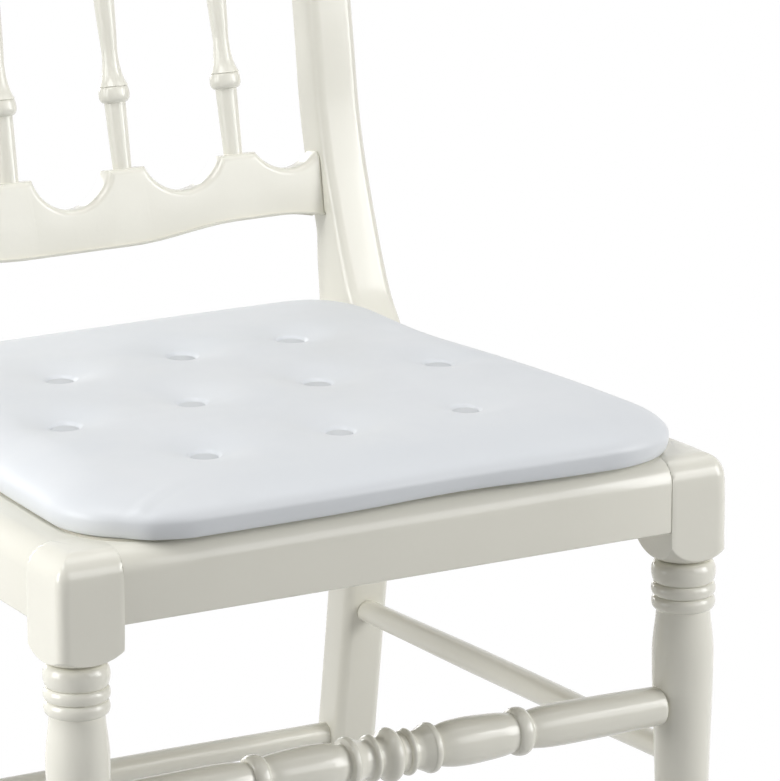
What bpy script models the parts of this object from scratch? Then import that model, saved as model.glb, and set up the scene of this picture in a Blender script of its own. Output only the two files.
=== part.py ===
"""A ballroom side chair in ivory lacquer: turned front legs, sabre rear posts, a spindle back between
a scalloped lower rail and a crest rail, a turned front stretcher and a loose buttoned seat cushion.

Metres, +Z up. The chair faces -Y and +X is to the right of someone who looks at its front. Lengths
along Y are given from the front face of the front legs, and heights either from the floor or from
the top of the seat frame. The last step puts the origin under the middle of the chair's box.
"""
import math

import bmesh
import bpy
import numpy as np
from mathutils import Matrix, Vector

# Driving sizes of the whole chair
seat_height = 0.445
front_width = 0.400
seat_taper = 0.028
rear_width = front_width - seat_taper
seat_depth = 0.3175
fit_gap = 0.0003

# Seat frame
leg_square = 0.0366
rail_height = 0.0390
rail_thickness = 0.030
rail_step = 0.0004
edge_round = 0.011
leg_corner_round = 0.0075
tenon_thickness = 0.009
tenon_height = 0.024
tenon_length = 0.014

# Front legs: drops are measured down from the top of the seat frame
shoulder_drop = 0.0455
shoulder_reach = 0.0270
neck_drop = 0.0597
neck_radius = 0.0140
ring_radius = 0.0171
ring_groove_radius = 0.0161
ring_first_height = 0.0123
ring_next_height = 0.0075
swell_drop = 0.1106
above_block = 0.02
swell_radius = 0.0166
taper_middle_drop = 0.1640
taper_middle_radius = 0.0151
ankle_height = 0.052
ankle_radius = 0.0098
ankle_ring_radius = 0.0128
foot_radius = 0.0124

# Rear posts
post_width = 0.028
post_corner_round = 0.006
post_tenon_width = 0.014
post_tenon_thickness = 0.008
post_tenon_length = 0.018

# Back panel, which leans back as one plane
back_rake = math.radians(11.8)
back_panel_setback = 0.057
back_panel_height = 0.1003
lower_rail_thickness = 0.016
lower_rail_depth = 0.0437
lower_rail_rise = 0.0060
lower_rail_level = 0.033
lower_rail_ramp = 0.070
lower_rail_end_drop = 0.0036
lower_rail_tenon_height = 0.020
lower_rail_tenon_drop = 0.001
back_edge_round = 0.0045
back_face_share = 0.6
lower_edge_share = 0.35
spindle_spacing = 0.071
spindle_pad = 0.0228
spindle_length = 0.302
spindle_foot_radius = 0.0052
spindle_shaft_radius = 0.0061
spindle_waist_radius = 0.0043
spindle_belly_radius = 0.0066
spindle_collar_radius = 0.0087
spindle_collar_height = 0.0438
spindle_waist_height = 0.0640
spindle_tenon_radius = 0.0038
spindle_tenon_length = 0.012
middle_scallop_depth = 0.0185
scallop_depth = 0.0160
end_scallop_depth = 0.0100
end_scallop_drop = 0.003
crest_thickness = 0.0225
crest_overhang = 0.0055
crest_middle = 0.060
crest_dip = 0.050
crest_ear = 0.054
crest_landing = 0.034

# Stretchers
front_stretcher_drop = 0.1396
front_stretcher_end_radius = 0.0102
front_stretcher_shaft_radius = 0.0112
stretcher_ring_radius = 0.0132
stretcher_barrel_radius = 0.0127
stretcher_middle_radius = 0.0146
stretcher_bead_radius = 0.0124
stretcher_neck_radius = 0.0096
stretcher_ring_place = 0.0796
front_stretcher_tenon_radius = 0.0070
plain_stretcher_radius = 0.0075
plain_stretcher_end_radius = 0.0066
plain_stretcher_depth = 0.012
side_stretcher_drop = 0.170
rear_stretcher_drop = 0.249

# Seat panel, corner blocks, screws and glides
panel_thickness = 0.006
panel_proud = 0.001
panel_front = 0.010
panel_rear = seat_depth + 0.0345
panel_front_half = front_width / 2 - 0.0235
panel_rear_half = rear_width / 2 - 0.030
panel_front_round = 0.046
panel_rear_round = 0.012
block_reach = 0.062
block_height = 0.026
screw_radius = 0.0021
screw_head_radius = 0.0043
screw_head_height = 0.0026
screw_head_depth = 0.006
screw_setback = 0.016
panel_screw_length = 0.0236
rail_screw_length = 0.032
rail_screw_start = 0.014
glide_radius = 0.0095
glide_height = 0.005
glide_pin_radius = 0.0022
glide_pin_length = 0.014

# Cushion
cushion_front = -0.001
cushion_rear = seat_depth + 0.0275
cushion_front_half = front_width / 2 - 0.0165
cushion_rear_half = rear_width / 2 - 0.0240
cushion_front_round = 0.055
cushion_rear_round = 0.050
cushion_side_height = 0.0152
cushion_crown = 0.0090
cushion_edge_round = 0.0045
cushion_pull_in = 0.0015
cushion_lift_gap = 0.0012
tape_thickness = 0.0012
tape_width = 0.022
tape_length = 0.045
tape_reach = 0.0115
base_thickness = 0.003
base_inset = 0.010
tuft_first_row = 0.070
tuft_row_pitch = seat_depth * 0.274
tuft_spacing = front_width * 0.197
tuft_taper = 0.041
tuft_depth = 0.0050
tuft_reach = 0.017
button_radius = 0.0074
button_height = 0.0034
button_sink = 0.0006

# Rear post in side view: height over the top of the seat frame, setback of its front face behind
# the seat joint, and depth from front to back; heights at the ends come from the floor and crest
post_stations = [
    (-0.330, 0.0457, 0.0262), (-0.245, 0.0312, 0.0266), (-0.160, 0.0182, 0.0270), (-0.110, 0.0108, 0.0325),
    (-0.065, 0.0045, 0.0442), (-0.042, 0.0010, 0.0507), (-0.030, 0.0, 0.0520), (0.0, 0.0, 0.0533),
    (0.0040, 0.0020, 0.0514), (0.0116, 0.0077, 0.0460), (0.0193, 0.0127, 0.0418), (0.0354, 0.0202, 0.0358),
    (0.0517, 0.0266, 0.0304), (0.0763, 0.0355, 0.0292), (0.0927, 0.0409, 0.0291), (0.1094, 0.0453, 0.0287),
    (0.1264, 0.0487, 0.0284), (0.1605, 0.0536, 0.0277), (0.230, 0.0653, 0.0270), (0.300, 0.0805, 0.0262),
    (0.350, 0.0935, 0.0250)]
post_foot_setback = 0.0655
post_cut_heights = [-0.39, -0.33, -0.28, -0.235, -0.19, -0.15, -0.115, -0.085, -0.060, -0.042, -0.030, 0.0, 0.004,
                    0.010, 0.017, 0.027, 0.040, 0.053, 0.070, 0.088, 0.106, 0.128, 0.160, 0.205, 0.255, 0.305, 0.350]
post_foot_depth = 0.0250
post_top_depth = 0.0235

# How finely the pieces are cut into faces
leg_sides = 18
shoulder_steps = 5
stretcher_sides = 14
spindle_sides = 10
small_sides = 10
screw_sides = 8
cushion_columns = 20
cushion_straight_rows = 13

parts = bpy.data.collections.new("ballroom_chair")
cutters = bpy.data.collections.new("cutters")


def start_scene():
    """Clears the scene and links the two collections."""
    for old in list(bpy.data.objects):
        bpy.data.objects.remove(old, do_unlink=True)
    bpy.context.scene.collection.children.link(parts)
    bpy.context.scene.collection.children.link(cutters)


def make_material(name, colour, roughness, metallic=0.0):
    """A Principled material of one colour."""
    material = bpy.data.materials.new(name)
    material.use_nodes = True
    shader = material.node_tree.nodes["Principled BSDF"]
    shader.inputs["Base Color"].default_value = (*colour, 1.0)
    shader.inputs["Roughness"].default_value = roughness
    shader.inputs["Metallic"].default_value = metallic
    return material


def add_object(name, mesh, place=(0, 0, 0), parent=None, material=None):
    """Links an object; without a material it is a cutter, which is not part of the chair."""
    made = bpy.data.objects.new(name, mesh)
    made.location = place
    made.parent = parent
    if material:
        mesh.materials.append(material)
        parts.objects.link(made)
    else:
        cutters.objects.link(made)
        made.display_type = "WIRE"
        made.hide_render = True
    return made


def add_empty(name, place, tilt=0.0):
    """An empty that other objects are placed from, leaning about X."""
    empty = bpy.data.objects.new(name, None)
    empty.location = place
    empty.rotation_euler = (tilt, 0, 0)
    empty.parent = chair_origin if name != "chair_origin" else None
    parts.objects.link(empty)
    return empty


def add_box(name, low, high, parent=None, material=None):
    """A box between two corners, from the cube primitive."""
    low, high = Vector(low), Vector(high)
    shape = bmesh.new()
    bmesh.ops.create_cube(shape, size=1.0)
    bmesh.ops.scale(shape, vec=high - low, verts=shape.verts)
    mesh = bpy.data.meshes.new(name)
    shape.to_mesh(mesh)
    shape.free()
    return add_object(name, mesh, (low + high) / 2, parent or chair_origin, material)


def add_turned(name, profile, sides, place, parent=None, material=None, turn=(0, 0, 0)):
    """A half section of (radius, height) points, top to bottom, turned once about Z."""
    mesh = bpy.data.meshes.new(name)
    points = [(radius, 0.0, height) for radius, height in profile]
    mesh.from_pydata(points, [(i, i + 1) for i in range(len(points) - 1)], [])
    made = add_object(name, mesh, place, parent or chair_origin, material)
    made.rotation_euler = turn
    screw = made.modifiers.new("Turn", "SCREW")
    screw.steps = sides
    screw.render_steps = sides
    screw.use_merge_vertices = True
    screw.merge_threshold = 0.00001
    screw.use_smooth_shade = True
    return made


def add_rod(name, radius, low, high, sides, place, turn=(0, 0, 0), parent=None, material=None):
    """A plain round rod between two heights on its own axis."""
    profile = [(0, high), (radius, high), (radius, low), (0, low)]
    return add_turned(name, profile, sides, place, parent, material, turn)


def add_plate(name, outline, thickness, place=(0, 0, 0), upright=False, parent=None, material=None):
    """A flat outline extruded evenly both ways; an upright one stands in the XZ plane."""
    curve = bpy.data.curves.new(name, "CURVE")
    curve.dimensions = "2D"
    curve.fill_mode = "BOTH"
    curve.extrude = thickness / 2
    spline = curve.splines.new("POLY")
    spline.points.add(len(outline) - 1)
    for point, (x, y) in zip(spline.points, outline):
        point.co = (x, y, 0.0, 1.0)
    spline.use_cyclic_u = True
    flat = bpy.data.objects.new(name + "_outline", curve)
    cutters.objects.link(flat)
    seen = flat.evaluated_get(bpy.context.evaluated_depsgraph_get())
    mesh = bpy.data.meshes.new_from_object(seen)
    bpy.data.objects.remove(flat, do_unlink=True)
    shape = bmesh.new()
    shape.from_mesh(mesh)
    bmesh.ops.remove_doubles(shape, verts=shape.verts, dist=0.00001)
    bmesh.ops.dissolve_limit(shape, angle_limit=0.001, verts=shape.verts, edges=shape.edges)
    if upright:
        bmesh.ops.rotate(shape, cent=(0, 0, 0), matrix=Matrix.Rotation(math.pi / 2, 3, "X"), verts=shape.verts)
    shape.to_mesh(mesh)
    shape.free()
    mesh.materials.clear()
    return add_object(name, mesh, place, parent or chair_origin, material)


def boolean(piece, other, operation):
    """Cuts, joins or intersects a piece with another object."""
    step = piece.modifiers.new(other.name, "BOOLEAN")
    step.operation = operation
    step.solver = "EXACT"
    step.object = other


def cut(piece, *others):
    for other in others:
        boolean(piece, other, "DIFFERENCE")


def join(piece, *others):
    for other in others:
        boolean(piece, other, "UNION")


def round_edges(piece, width, segments, chosen=None):
    """Rounds the sharp edges, or the edges that a test on their two ends chooses, each by its share."""
    bevel = piece.modifiers.new("Round", "BEVEL")
    bevel.width = width
    bevel.segments = segments
    bevel.limit_method = "ANGLE"
    bevel.angle_limit = math.radians(50)
    if chosen:
        bevel.limit_method = "WEIGHT"
        weights = piece.data.attributes.new("bevel_weight_edge", "FLOAT", "EDGE")
        corners = [v.co for v in piece.data.vertices]
        shares = [chosen(corners[e.vertices[0]], corners[e.vertices[1]]) for e in piece.data.edges]
        weights.data.foreach_set("value", shares)


def shear(piece, slope, about):
    """Slants a piece sideways in plan: x moves by slope for each metre of y past a line."""
    start = about - piece.location.y
    for vertex in piece.data.vertices:
        vertex.co.x += slope * (vertex.co.y - start)


def bead(height, radius, half, groove, steps=4):
    """Half-round ring in a turned profile, from its upper groove to its lower one."""
    angles = np.radians(np.linspace(90, -90, steps + 1))
    return [(groove + (radius - groove) * math.cos(a), height + half * math.sin(a)) for a in angles]


def smooth(heights, values, wanted):
    """Monotone cubic curve through the values, so a straight stretch stays straight."""
    x, y = np.asarray(heights), np.asarray(values)
    step = np.diff(x)
    slope = np.diff(y) / step
    tangent = np.zeros_like(y)
    same_way = slope[:-1] * slope[1:] > 0
    weights = (2 * step[1:] + step[:-1], step[1:] + 2 * step[:-1])
    bottom = np.where(same_way, slope[:-1] * weights[1] + slope[1:] * weights[0], 1.0)
    tangent[1:-1] = np.where(same_way, (weights[0] + weights[1]) * slope[:-1] * slope[1:] / bottom, 0.0)
    tangent[0], tangent[-1] = slope[0], slope[-1]
    index = np.clip(np.searchsorted(x, wanted) - 1, 0, len(step) - 1)
    t = (wanted - x[index]) / step[index]
    a, b = tangent[index] * step[index], tangent[index + 1] * step[index]
    rise = y[index + 1] - y[index]
    return y[index] + a * t + (3 * rise - 2 * a - b) * t ** 2 + (a + b - 2 * rise) * t ** 3


def half_width_at(y, front, rear, front_half, rear_half, front_round, rear_round):
    """Half the width of a tapered outline with round corners, at a distance from the front."""
    straight = front_half + (rear_half - front_half) * (y - front) / (rear - front)
    if y < front + front_round:
        rise = front + front_round - y
        return straight - front_round + math.sqrt(max(front_round ** 2 - rise ** 2, 0))
    if y > rear - rear_round:
        rise = y - rear + rear_round
        return straight - rear_round + math.sqrt(max(rear_round ** 2 - rise ** 2, 0))
    return straight


def tapered_outline(front, rear, front_half, rear_half, front_round, rear_round, steps):
    """Tapered outline with round corners, anticlockwise from the front right."""
    turn = np.radians(np.linspace(0, 90, steps + 1))
    rows = [front + front_round * (1 - math.cos(a)) for a in turn]
    rows += [rear - rear_round * (1 - math.cos(a)) for a in turn[::-1]]
    sides = [half_width_at(y, front, rear, front_half, rear_half, front_round, rear_round) for y in rows]
    right = list(zip(sides, rows))
    return right + [(-x, y) for x, y in reversed(right)]


# Places that several pieces share
seat_top = seat_height
leg_axis_x = (front_width - leg_square) / 2
leg_axis_y = leg_square / 2
post_x = (rear_width - post_width) / 2
post_inner = rear_width / 2 - post_width
side_slope = (rear_width - front_width) / 2 / (seat_depth - leg_square)
back_y = seat_depth + back_panel_setback
panel_top = seat_top + panel_proud
panel_bottom = panel_top - panel_thickness
rear_rail_front = panel_rear - 0.0165
tape_bottom = panel_top + fit_gap
loop_bottom = tape_bottom + tape_thickness + fit_gap
base_bottom = loop_bottom + tape_thickness + fit_gap
cushion_bottom = panel_top + cushion_lift_gap
leg_foot = glide_height + fit_gap


def leg_profile(extra=0.0):
    """Half section of the whole front leg, wider than the square blank above the shoulder."""
    neck = seat_top - neck_drop
    first = neck - 0.0003 - ring_first_height / 2
    second = first - ring_first_height / 2 - ring_next_height / 2
    third = second - ring_next_height
    low_neck = third - ring_next_height / 2 - 0.0018
    points = [(0, seat_top + above_block), (leg_square, seat_top + above_block), (leg_square, seat_top - shoulder_drop)]
    points += [(neck_radius + (shoulder_reach - neck_radius) * math.cos(a),
                seat_top - shoulder_drop - (neck_drop - shoulder_drop) * math.sin(a))
               for a in np.radians(np.linspace(0, 90, shoulder_steps + 1))]
    points += bead(first, ring_radius, ring_first_height / 2, neck_radius)[1:-1]
    points += bead(second, ring_radius, ring_next_height / 2, ring_groove_radius)
    points += bead(third, ring_radius, ring_next_height / 2, ring_groove_radius)[1:-1]
    swell, taper = seat_top - swell_drop, seat_top - taper_middle_drop
    known = [ankle_height, taper, swell - 0.018, swell, low_neck]
    radii = [ankle_radius, taper_middle_radius, swell_radius - 0.0005, swell_radius, neck_radius]
    heights = np.array([low_neck, low_neck - 0.0045, low_neck - 0.011, swell, swell - 0.018, swell - 0.034, taper,
                        taper - 0.07, taper - 0.15, taper - 0.21, ankle_height])
    points += list(zip(smooth(known, radii, heights), heights))
    points += bead(ankle_height - 0.0045, ankle_ring_radius, 0.0045, ankle_radius)[1:]
    points += [(foot_radius * 0.86, ankle_height - 0.016), (foot_radius, ankle_height - 0.028),
               (foot_radius * 0.93, leg_foot + 0.006), (foot_radius * 0.84, leg_foot), (0, leg_foot)]
    return [(float(radius) + extra if radius > 0 else 0.0, float(height)) for radius, height in points]


def add_front_legs():
    """Both front legs, each turned from a square blank that is left whole where the rails meet."""
    legs = []
    for side, name in ((-1, "front_left_leg"), (1, "front_right_leg")):
        x = side * leg_axis_x
        leg = add_box(name, (x - leg_square / 2, 0, leg_foot), (x + leg_square / 2, leg_square, seat_top),
                      material=ivory)
        half = leg_square / 2 - 0.001
        top = (seat_top - leg_foot) / 2 - 0.001

        def share(a, b, side=side):
            front, outer = a.y < -half and b.y < -half, a.x * side > half and b.x * side > half
            high = a.z > top and b.z > top
            if front and outer:
                return leg_corner_round / edge_round
            return 1.0 if high and (front or outer) else 0.0

        round_edges(leg, edge_round, 3, share)
        envelope = add_turned(name + "_turning", leg_profile(), leg_sides, (x, leg_axis_y, 0))
        boolean(leg, envelope, "INTERSECT")
        glide_hole = add_rod(name + "_glide_hole", glide_pin_radius + fit_gap, -0.01, glide_pin_length + fit_gap,
                             small_sides, (x, leg_axis_y, leg_foot))
        cut(leg, glide_hole)
        legs.append(leg)
    return legs


def post_outline():
    """Side view of a rear post as (y, z) points, foot to crest along its front and back down."""
    lean = Vector((math.sin(back_rake), math.cos(back_rake)))
    top_middle = Vector((back_y, seat_top + back_panel_height)) + (spindle_length - fit_gap) * lean
    across = Vector((math.cos(back_rake), -math.sin(back_rake)))
    heights = [leg_foot - seat_top] + [row[0] for row in post_stations]
    fronts = [post_foot_setback] + [row[1] for row in post_stations]
    depths = [post_foot_depth] + [row[2] for row in post_stations]
    wanted = np.array(heights[:1] + post_cut_heights)
    front = seat_depth + smooth(heights, fronts, wanted)
    back = front + smooth(heights, depths, wanted)
    up = list(zip(front, seat_top + wanted)) + [tuple(top_middle - across * post_top_depth / 2)]
    down = [tuple(top_middle + across * post_top_depth / 2)] + list(zip(back, seat_top + wanted))[::-1]
    return [(float(y), float(z)) for y, z in up + down]


def add_rear_posts():
    """Both rear posts, each a sabre shape sawn from plank with round corners and a tenon on top."""
    posts = []
    top = Vector((0, 0, spindle_length - fit_gap))
    tip = Matrix.Rotation(-back_rake, 3, "X") @ top + Vector((0, back_y, seat_top + back_panel_height))
    for side, name in ((-1, "rear_left_post"), (1, "rear_right_post")):
        post = add_plate(name, post_outline(), post_width, material=ivory)
        post.data.transform(Matrix(((0, 0, 1, 0), (1, 0, 0, 0), (0, 1, 0, 0), (0, 0, 0, 1))))
        post.location.x = side * post_x

        def share(a, b):
            lengthways = abs(a.x - b.x) < 0.001
            return 1.0 if lengthways and max(a.z, b.z) > leg_foot + 0.001 and min(a.z, b.z) < tip.z - 0.01 else 0.0

        round_edges(post, post_corner_round, 2, share)
        low = (side * post_x - post_tenon_width / 2, -post_tenon_thickness / 2, top.z - 0.004)
        high = (side * post_x + post_tenon_width / 2, post_tenon_thickness / 2, top.z + post_tenon_length)
        tenon = add_box(name + "_tenon", low, high, parent=back_panel)
        join(post, tenon)
        foot_y = seat_depth + post_foot_setback + post_foot_depth / 2
        cut(post, add_rod(name + "_glide_hole", glide_pin_radius + fit_gap, -0.01, glide_pin_length + fit_gap,
                          small_sides, (side * post_x, foot_y, leg_foot)))
        posts.append(post)
    return posts


def tenon_pair(name, low, high):
    """A tenon box and the mortise that takes it: longer at its tip and wider all round by the gap."""
    tenon = add_box(name + "_tenon", low, high)
    spare = Vector((fit_gap, fit_gap, fit_gap))
    mortise = add_box(name + "_mortise", Vector(low) - spare, Vector(high) + spare)
    return tenon, mortise


def add_cross_rail(name, y_low, y_high, half, outer_round):
    """A rail along X between two legs or posts, with its two tenons."""
    rail = add_box(name, (-half + fit_gap, y_low, seat_top - rail_height), (half - fit_gap, y_high, seat_top),
                   material=ivory)
    reach = (y_high - y_low) / 2 - 0.001
    high = rail_height / 2 - 0.001
    outer = -1 if outer_round == "front" else 1

    def share(a, b):
        return 1.0 if min(a.y * outer, b.y * outer) > reach and min(a.z, b.z) > high else 0.0

    round_edges(rail, edge_round if outer < 0 else 0.006, 3, share)
    middle_y, middle_z = (y_low + y_high) / 2, seat_top - rail_height / 2 - 0.002
    mortises = []
    for side, word in ((-1, "left"), (1, "right")):
        ends = sorted((side * (half - 0.004), side * (half + tenon_length)))
        tenon, mortise = tenon_pair(name + "_" + word, (ends[0], middle_y - tenon_thickness / 2,
                                    middle_z - tenon_height / 2),
                                    (ends[1], middle_y + tenon_thickness / 2, middle_z + tenon_height / 2))
        join(rail, tenon)
        mortises.append(mortise)
    return rail, mortises


def add_side_rails(legs, posts):
    """Both side rails, slanted in plan from the front legs in to the rear posts."""
    rails = []
    for side, word, leg, post in ((-1, "left", legs[0], posts[0]), (1, "right", legs[1], posts[1])):
        name = word + "_seat_rail"
        outer = front_width / 2 - rail_step
        edges = sorted((side * outer, side * (outer - rail_thickness)))
        y_low, y_high = leg_square + fit_gap, seat_depth - fit_gap
        rail = add_box(name, (edges[0], y_low, seat_top - rail_height), (edges[1], y_high, seat_top), material=ivory)
        reach, high = rail_thickness / 2 - 0.001, rail_height / 2 - 0.001

        def share(a, b, side=side, reach=reach, high=high):
            return 1.0 if min(a.x * side, b.x * side) > reach and min(a.z, b.z) > high else 0.0

        round_edges(rail, edge_round, 3, share)
        middle_x, middle_z = sum(edges) / 2, seat_top - rail_height / 2 - 0.002
        pieces = []
        for place, y_a, y_b in (("front", leg_square - tenon_length, leg_square + 0.004),
                                ("rear", seat_depth - 0.004, seat_depth + tenon_length)):
            pieces.append(tenon_pair(name + "_" + place,
                                     (middle_x - tenon_thickness / 2, y_a, middle_z - tenon_height / 2),
                                     (middle_x + tenon_thickness / 2, y_b, middle_z + tenon_height / 2)))
        for piece in [rail] + [one for pair in pieces for one in pair]:
            shear(piece, side * side_slope, leg_square)
        join(rail, pieces[0][0], pieces[1][0])
        cut(leg, pieces[0][1])
        cut(post, pieces[1][1])
        rails.append(rail)
    return rails


def scallops(level, up, last_x, last_drop):
    """Edge with a pad at each spindle and round scallops between, for x from 0 to last_x."""
    points = []
    pads = [spindle_spacing * 0.5, spindle_spacing * 1.5]
    starts = [0.0] + [pad + spindle_pad / 2 for pad in pads]
    ends = [pad - spindle_pad / 2 for pad in pads] + [last_x]
    for number, (start, end) in enumerate(zip(starts, ends)):
        depth = (middle_scallop_depth, scallop_depth, end_scallop_depth)[number]
        drop = last_drop if number == 2 else 0.0
        chord = end - start if number else 2 * end
        radius = ((chord / 2) ** 2 + depth ** 2) / (2 * depth)
        middle = (start + end) / 2 if number else 0.0
        steps = 8 if number else 4
        for x in np.linspace(start, end, steps + 1):
            sag = math.sqrt(max(radius ** 2 - (x - middle) ** 2, 0)) - (radius - depth)
            points.append((float(x), level + up * (max(sag, 0.0) + drop * (x - start) / (end - start))))
    return points


def back_edge_share(a, b, end, level):
    """Share of the rounding for an edge of the back's rails: none at the ends, less behind and below."""
    if abs(a.y - b.y) > 0.001 or min(abs(a.x), abs(b.x)) > end - 0.0001:
        return 0.0
    if a.y > 0:
        return back_face_share
    return lower_edge_share if max(a.z, b.z) < level else 1.0


def add_lower_back_rail(posts):
    """Lower rail of the back: scallops on top between the spindles' pads, deeper below in the middle."""
    half = post_inner - fit_gap
    top = scallops(0.0, -1, half, end_scallop_drop)
    places = np.linspace(half, lower_rail_level, 13)
    rise = lower_rail_rise / 2 * (1 - np.cos(math.pi * np.clip((places - lower_rail_level) / lower_rail_ramp, 0, 1)))
    bare = lower_rail_level + lower_rail_ramp
    drop = lower_rail_end_drop * (np.clip(places - bare, 0, None) / (half - bare)) ** 2
    under = [(float(x), float(z)) for x, z in zip(places, rise - drop - lower_rail_depth)] + [(0.0, -lower_rail_depth)]
    right = top + under
    outline = right + [(-x, z) for x, z in reversed(right)][1:-1]
    rail = add_plate("lower_back_rail", outline, lower_rail_thickness, upright=True, parent=back_panel, material=ivory)
    round_edges(rail, back_edge_round, 2, lambda a, b: back_edge_share(a, b, half, -lower_rail_depth / 2))
    middle = -lower_rail_depth / 2 - lower_rail_tenon_drop
    for side, post in ((-1, posts[0]), (1, posts[1])):
        ends = sorted((side * (post_inner - 0.006), side * (post_inner + tenon_length)))
        low = Vector((ends[0], -tenon_thickness / 2, middle - lower_rail_tenon_height / 2))
        high = Vector((ends[1], tenon_thickness / 2, middle + lower_rail_tenon_height / 2))
        spare = Vector((fit_gap, fit_gap, fit_gap))
        join(rail, add_box(f"lower_back_rail_tenon_{side}", low, high, parent=back_panel))
        cut(post, add_box(f"lower_back_rail_mortise_{side}", low - spare, high + spare, parent=back_panel))
    return rail


def add_crest_rail():
    """Crest rail: it caps both posts, and its underside repeats the lower rail's scallops."""
    reach = post_x + post_width / 2 + crest_overhang
    landing = reach - crest_landing
    under = scallops(spindle_length, 1, landing, 0.0)
    under += [(reach - 0.006, spindle_length), (reach - 0.0018, spindle_length + 0.0018),
              (reach, spindle_length + 0.006)]
    places = np.array([0, 0.30, 0.56, 0.78, 0.90, 0.965, 1.0]) * reach
    heights = np.array([crest_middle, (crest_middle * 0.8 + crest_dip * 0.2), crest_dip, crest_ear, crest_ear - 0.004,
                        crest_ear - 0.012, crest_ear - 0.026])
    across = np.concatenate([np.linspace(1.0, 0.86, 7), np.linspace(0.78, 0, 9)]) * reach
    top = [(float(x), float(spindle_length + h)) for x, h in zip(across, smooth(places, heights, across))]
    right = under + top
    outline = right + [(-x, z) for x, z in reversed(right)][1:-1]
    rail = add_plate("crest_rail", outline, crest_thickness, upright=True, parent=back_panel, material=ivory)
    round_edges(rail, back_edge_round, 2, lambda a, b: back_edge_share(a, b, 2 * reach, 0))
    for side in (-1, 1):
        spare = fit_gap
        cut(rail, add_box(f"crest_mortise_{side}",
                          (side * post_x - post_tenon_width / 2 - spare, -post_tenon_thickness / 2 - spare,
                           spindle_length - 0.01),
                          (side * post_x + post_tenon_width / 2 + spare, post_tenon_thickness / 2 + spare,
                           spindle_length + post_tenon_length + spare), parent=back_panel))
    return rail


def spindle_profile():
    """Half section of a back spindle, the same from both ends, with a round tenon at each."""
    collar = spindle_collar_height
    half = [(spindle_foot_radius, fit_gap), (spindle_shaft_radius, collar - 0.0064),
            (spindle_collar_radius - 0.0010, collar - 0.0036), (spindle_collar_radius, collar),
            (spindle_collar_radius - 0.0006, collar + 0.0026), (spindle_collar_radius - 0.0024, collar + 0.0077),
            (spindle_waist_radius + 0.0007, collar + 0.0132), (spindle_waist_radius, spindle_waist_height)]
    middle = spindle_length / 2
    belly = [(spindle_waist_radius + 0.0009, collar + 0.0340), (spindle_belly_radius, middle)]
    tenon = [(0, -spindle_tenon_length), (spindle_tenon_radius, -spindle_tenon_length), (spindle_tenon_radius, fit_gap)]
    low = tenon + half + belly
    high = [(r, spindle_length - z) for r, z in reversed(low[:-1])]
    return [point for point in reversed(low + high)]


def add_spindles(lower_rail, crest):
    """The four back spindles, numbered from the chair's left as one looks at its front."""
    for number in range(4):
        x = (number - 1.5) * spindle_spacing
        add_turned(f"back_spindle_{number + 1}", spindle_profile(), spindle_sides, (x, 0, 0), back_panel, ivory)
        room = spindle_tenon_length + fit_gap
        hole = spindle_tenon_radius + fit_gap
        cut(lower_rail, add_rod(f"spindle_hole_low_{number}", hole, -room, 0.01, spindle_sides, (x, 0, 0),
                                parent=back_panel))
        cut(crest, add_rod(f"spindle_hole_high_{number}", hole, spindle_length - 0.01, spindle_length + room,
                           spindle_sides, (x, 0, 0), parent=back_panel))


def front_stretcher_profile(half):
    """Half section of the front stretcher along its length: rings and a barrel each side of the middle."""
    neck, ring, barrel = stretcher_neck_radius, stretcher_ring_radius, stretcher_barrel_radius
    place = stretcher_ring_place
    right = [(stretcher_middle_radius, 0.0), (stretcher_middle_radius - 0.0012, 0.0028), (neck + 0.0008, 0.0060),
             (neck + 0.0006, 0.0075), (stretcher_bead_radius, 0.0098), (stretcher_bead_radius, 0.0118),
             (neck + 0.0004, 0.0142), (neck + 0.0002, 0.0170), (ring - 0.0004, 0.0224), (ring, 0.0240),
             (ring - 0.0010, 0.0262), (neck, 0.0275), (neck + 0.0012, 0.0300), (barrel - 0.0005, 0.0400),
             (barrel, 0.0510), (barrel - 0.0008, 0.0640), (neck + 0.0008, place - 0.0060)]
    right += [(radius, place - height) for radius, height in bead(0, ring, 0.0048, neck + 0.0010)]
    right += [(neck + 0.0012, place + 0.0070), (front_stretcher_shaft_radius, place + 0.0110),
              (front_stretcher_shaft_radius, place + 0.030), (front_stretcher_end_radius, half), (0, half)]
    left = [(radius, -height) for radius, height in reversed(right[1:])]
    return [point for point in reversed(left + right)]


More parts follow.
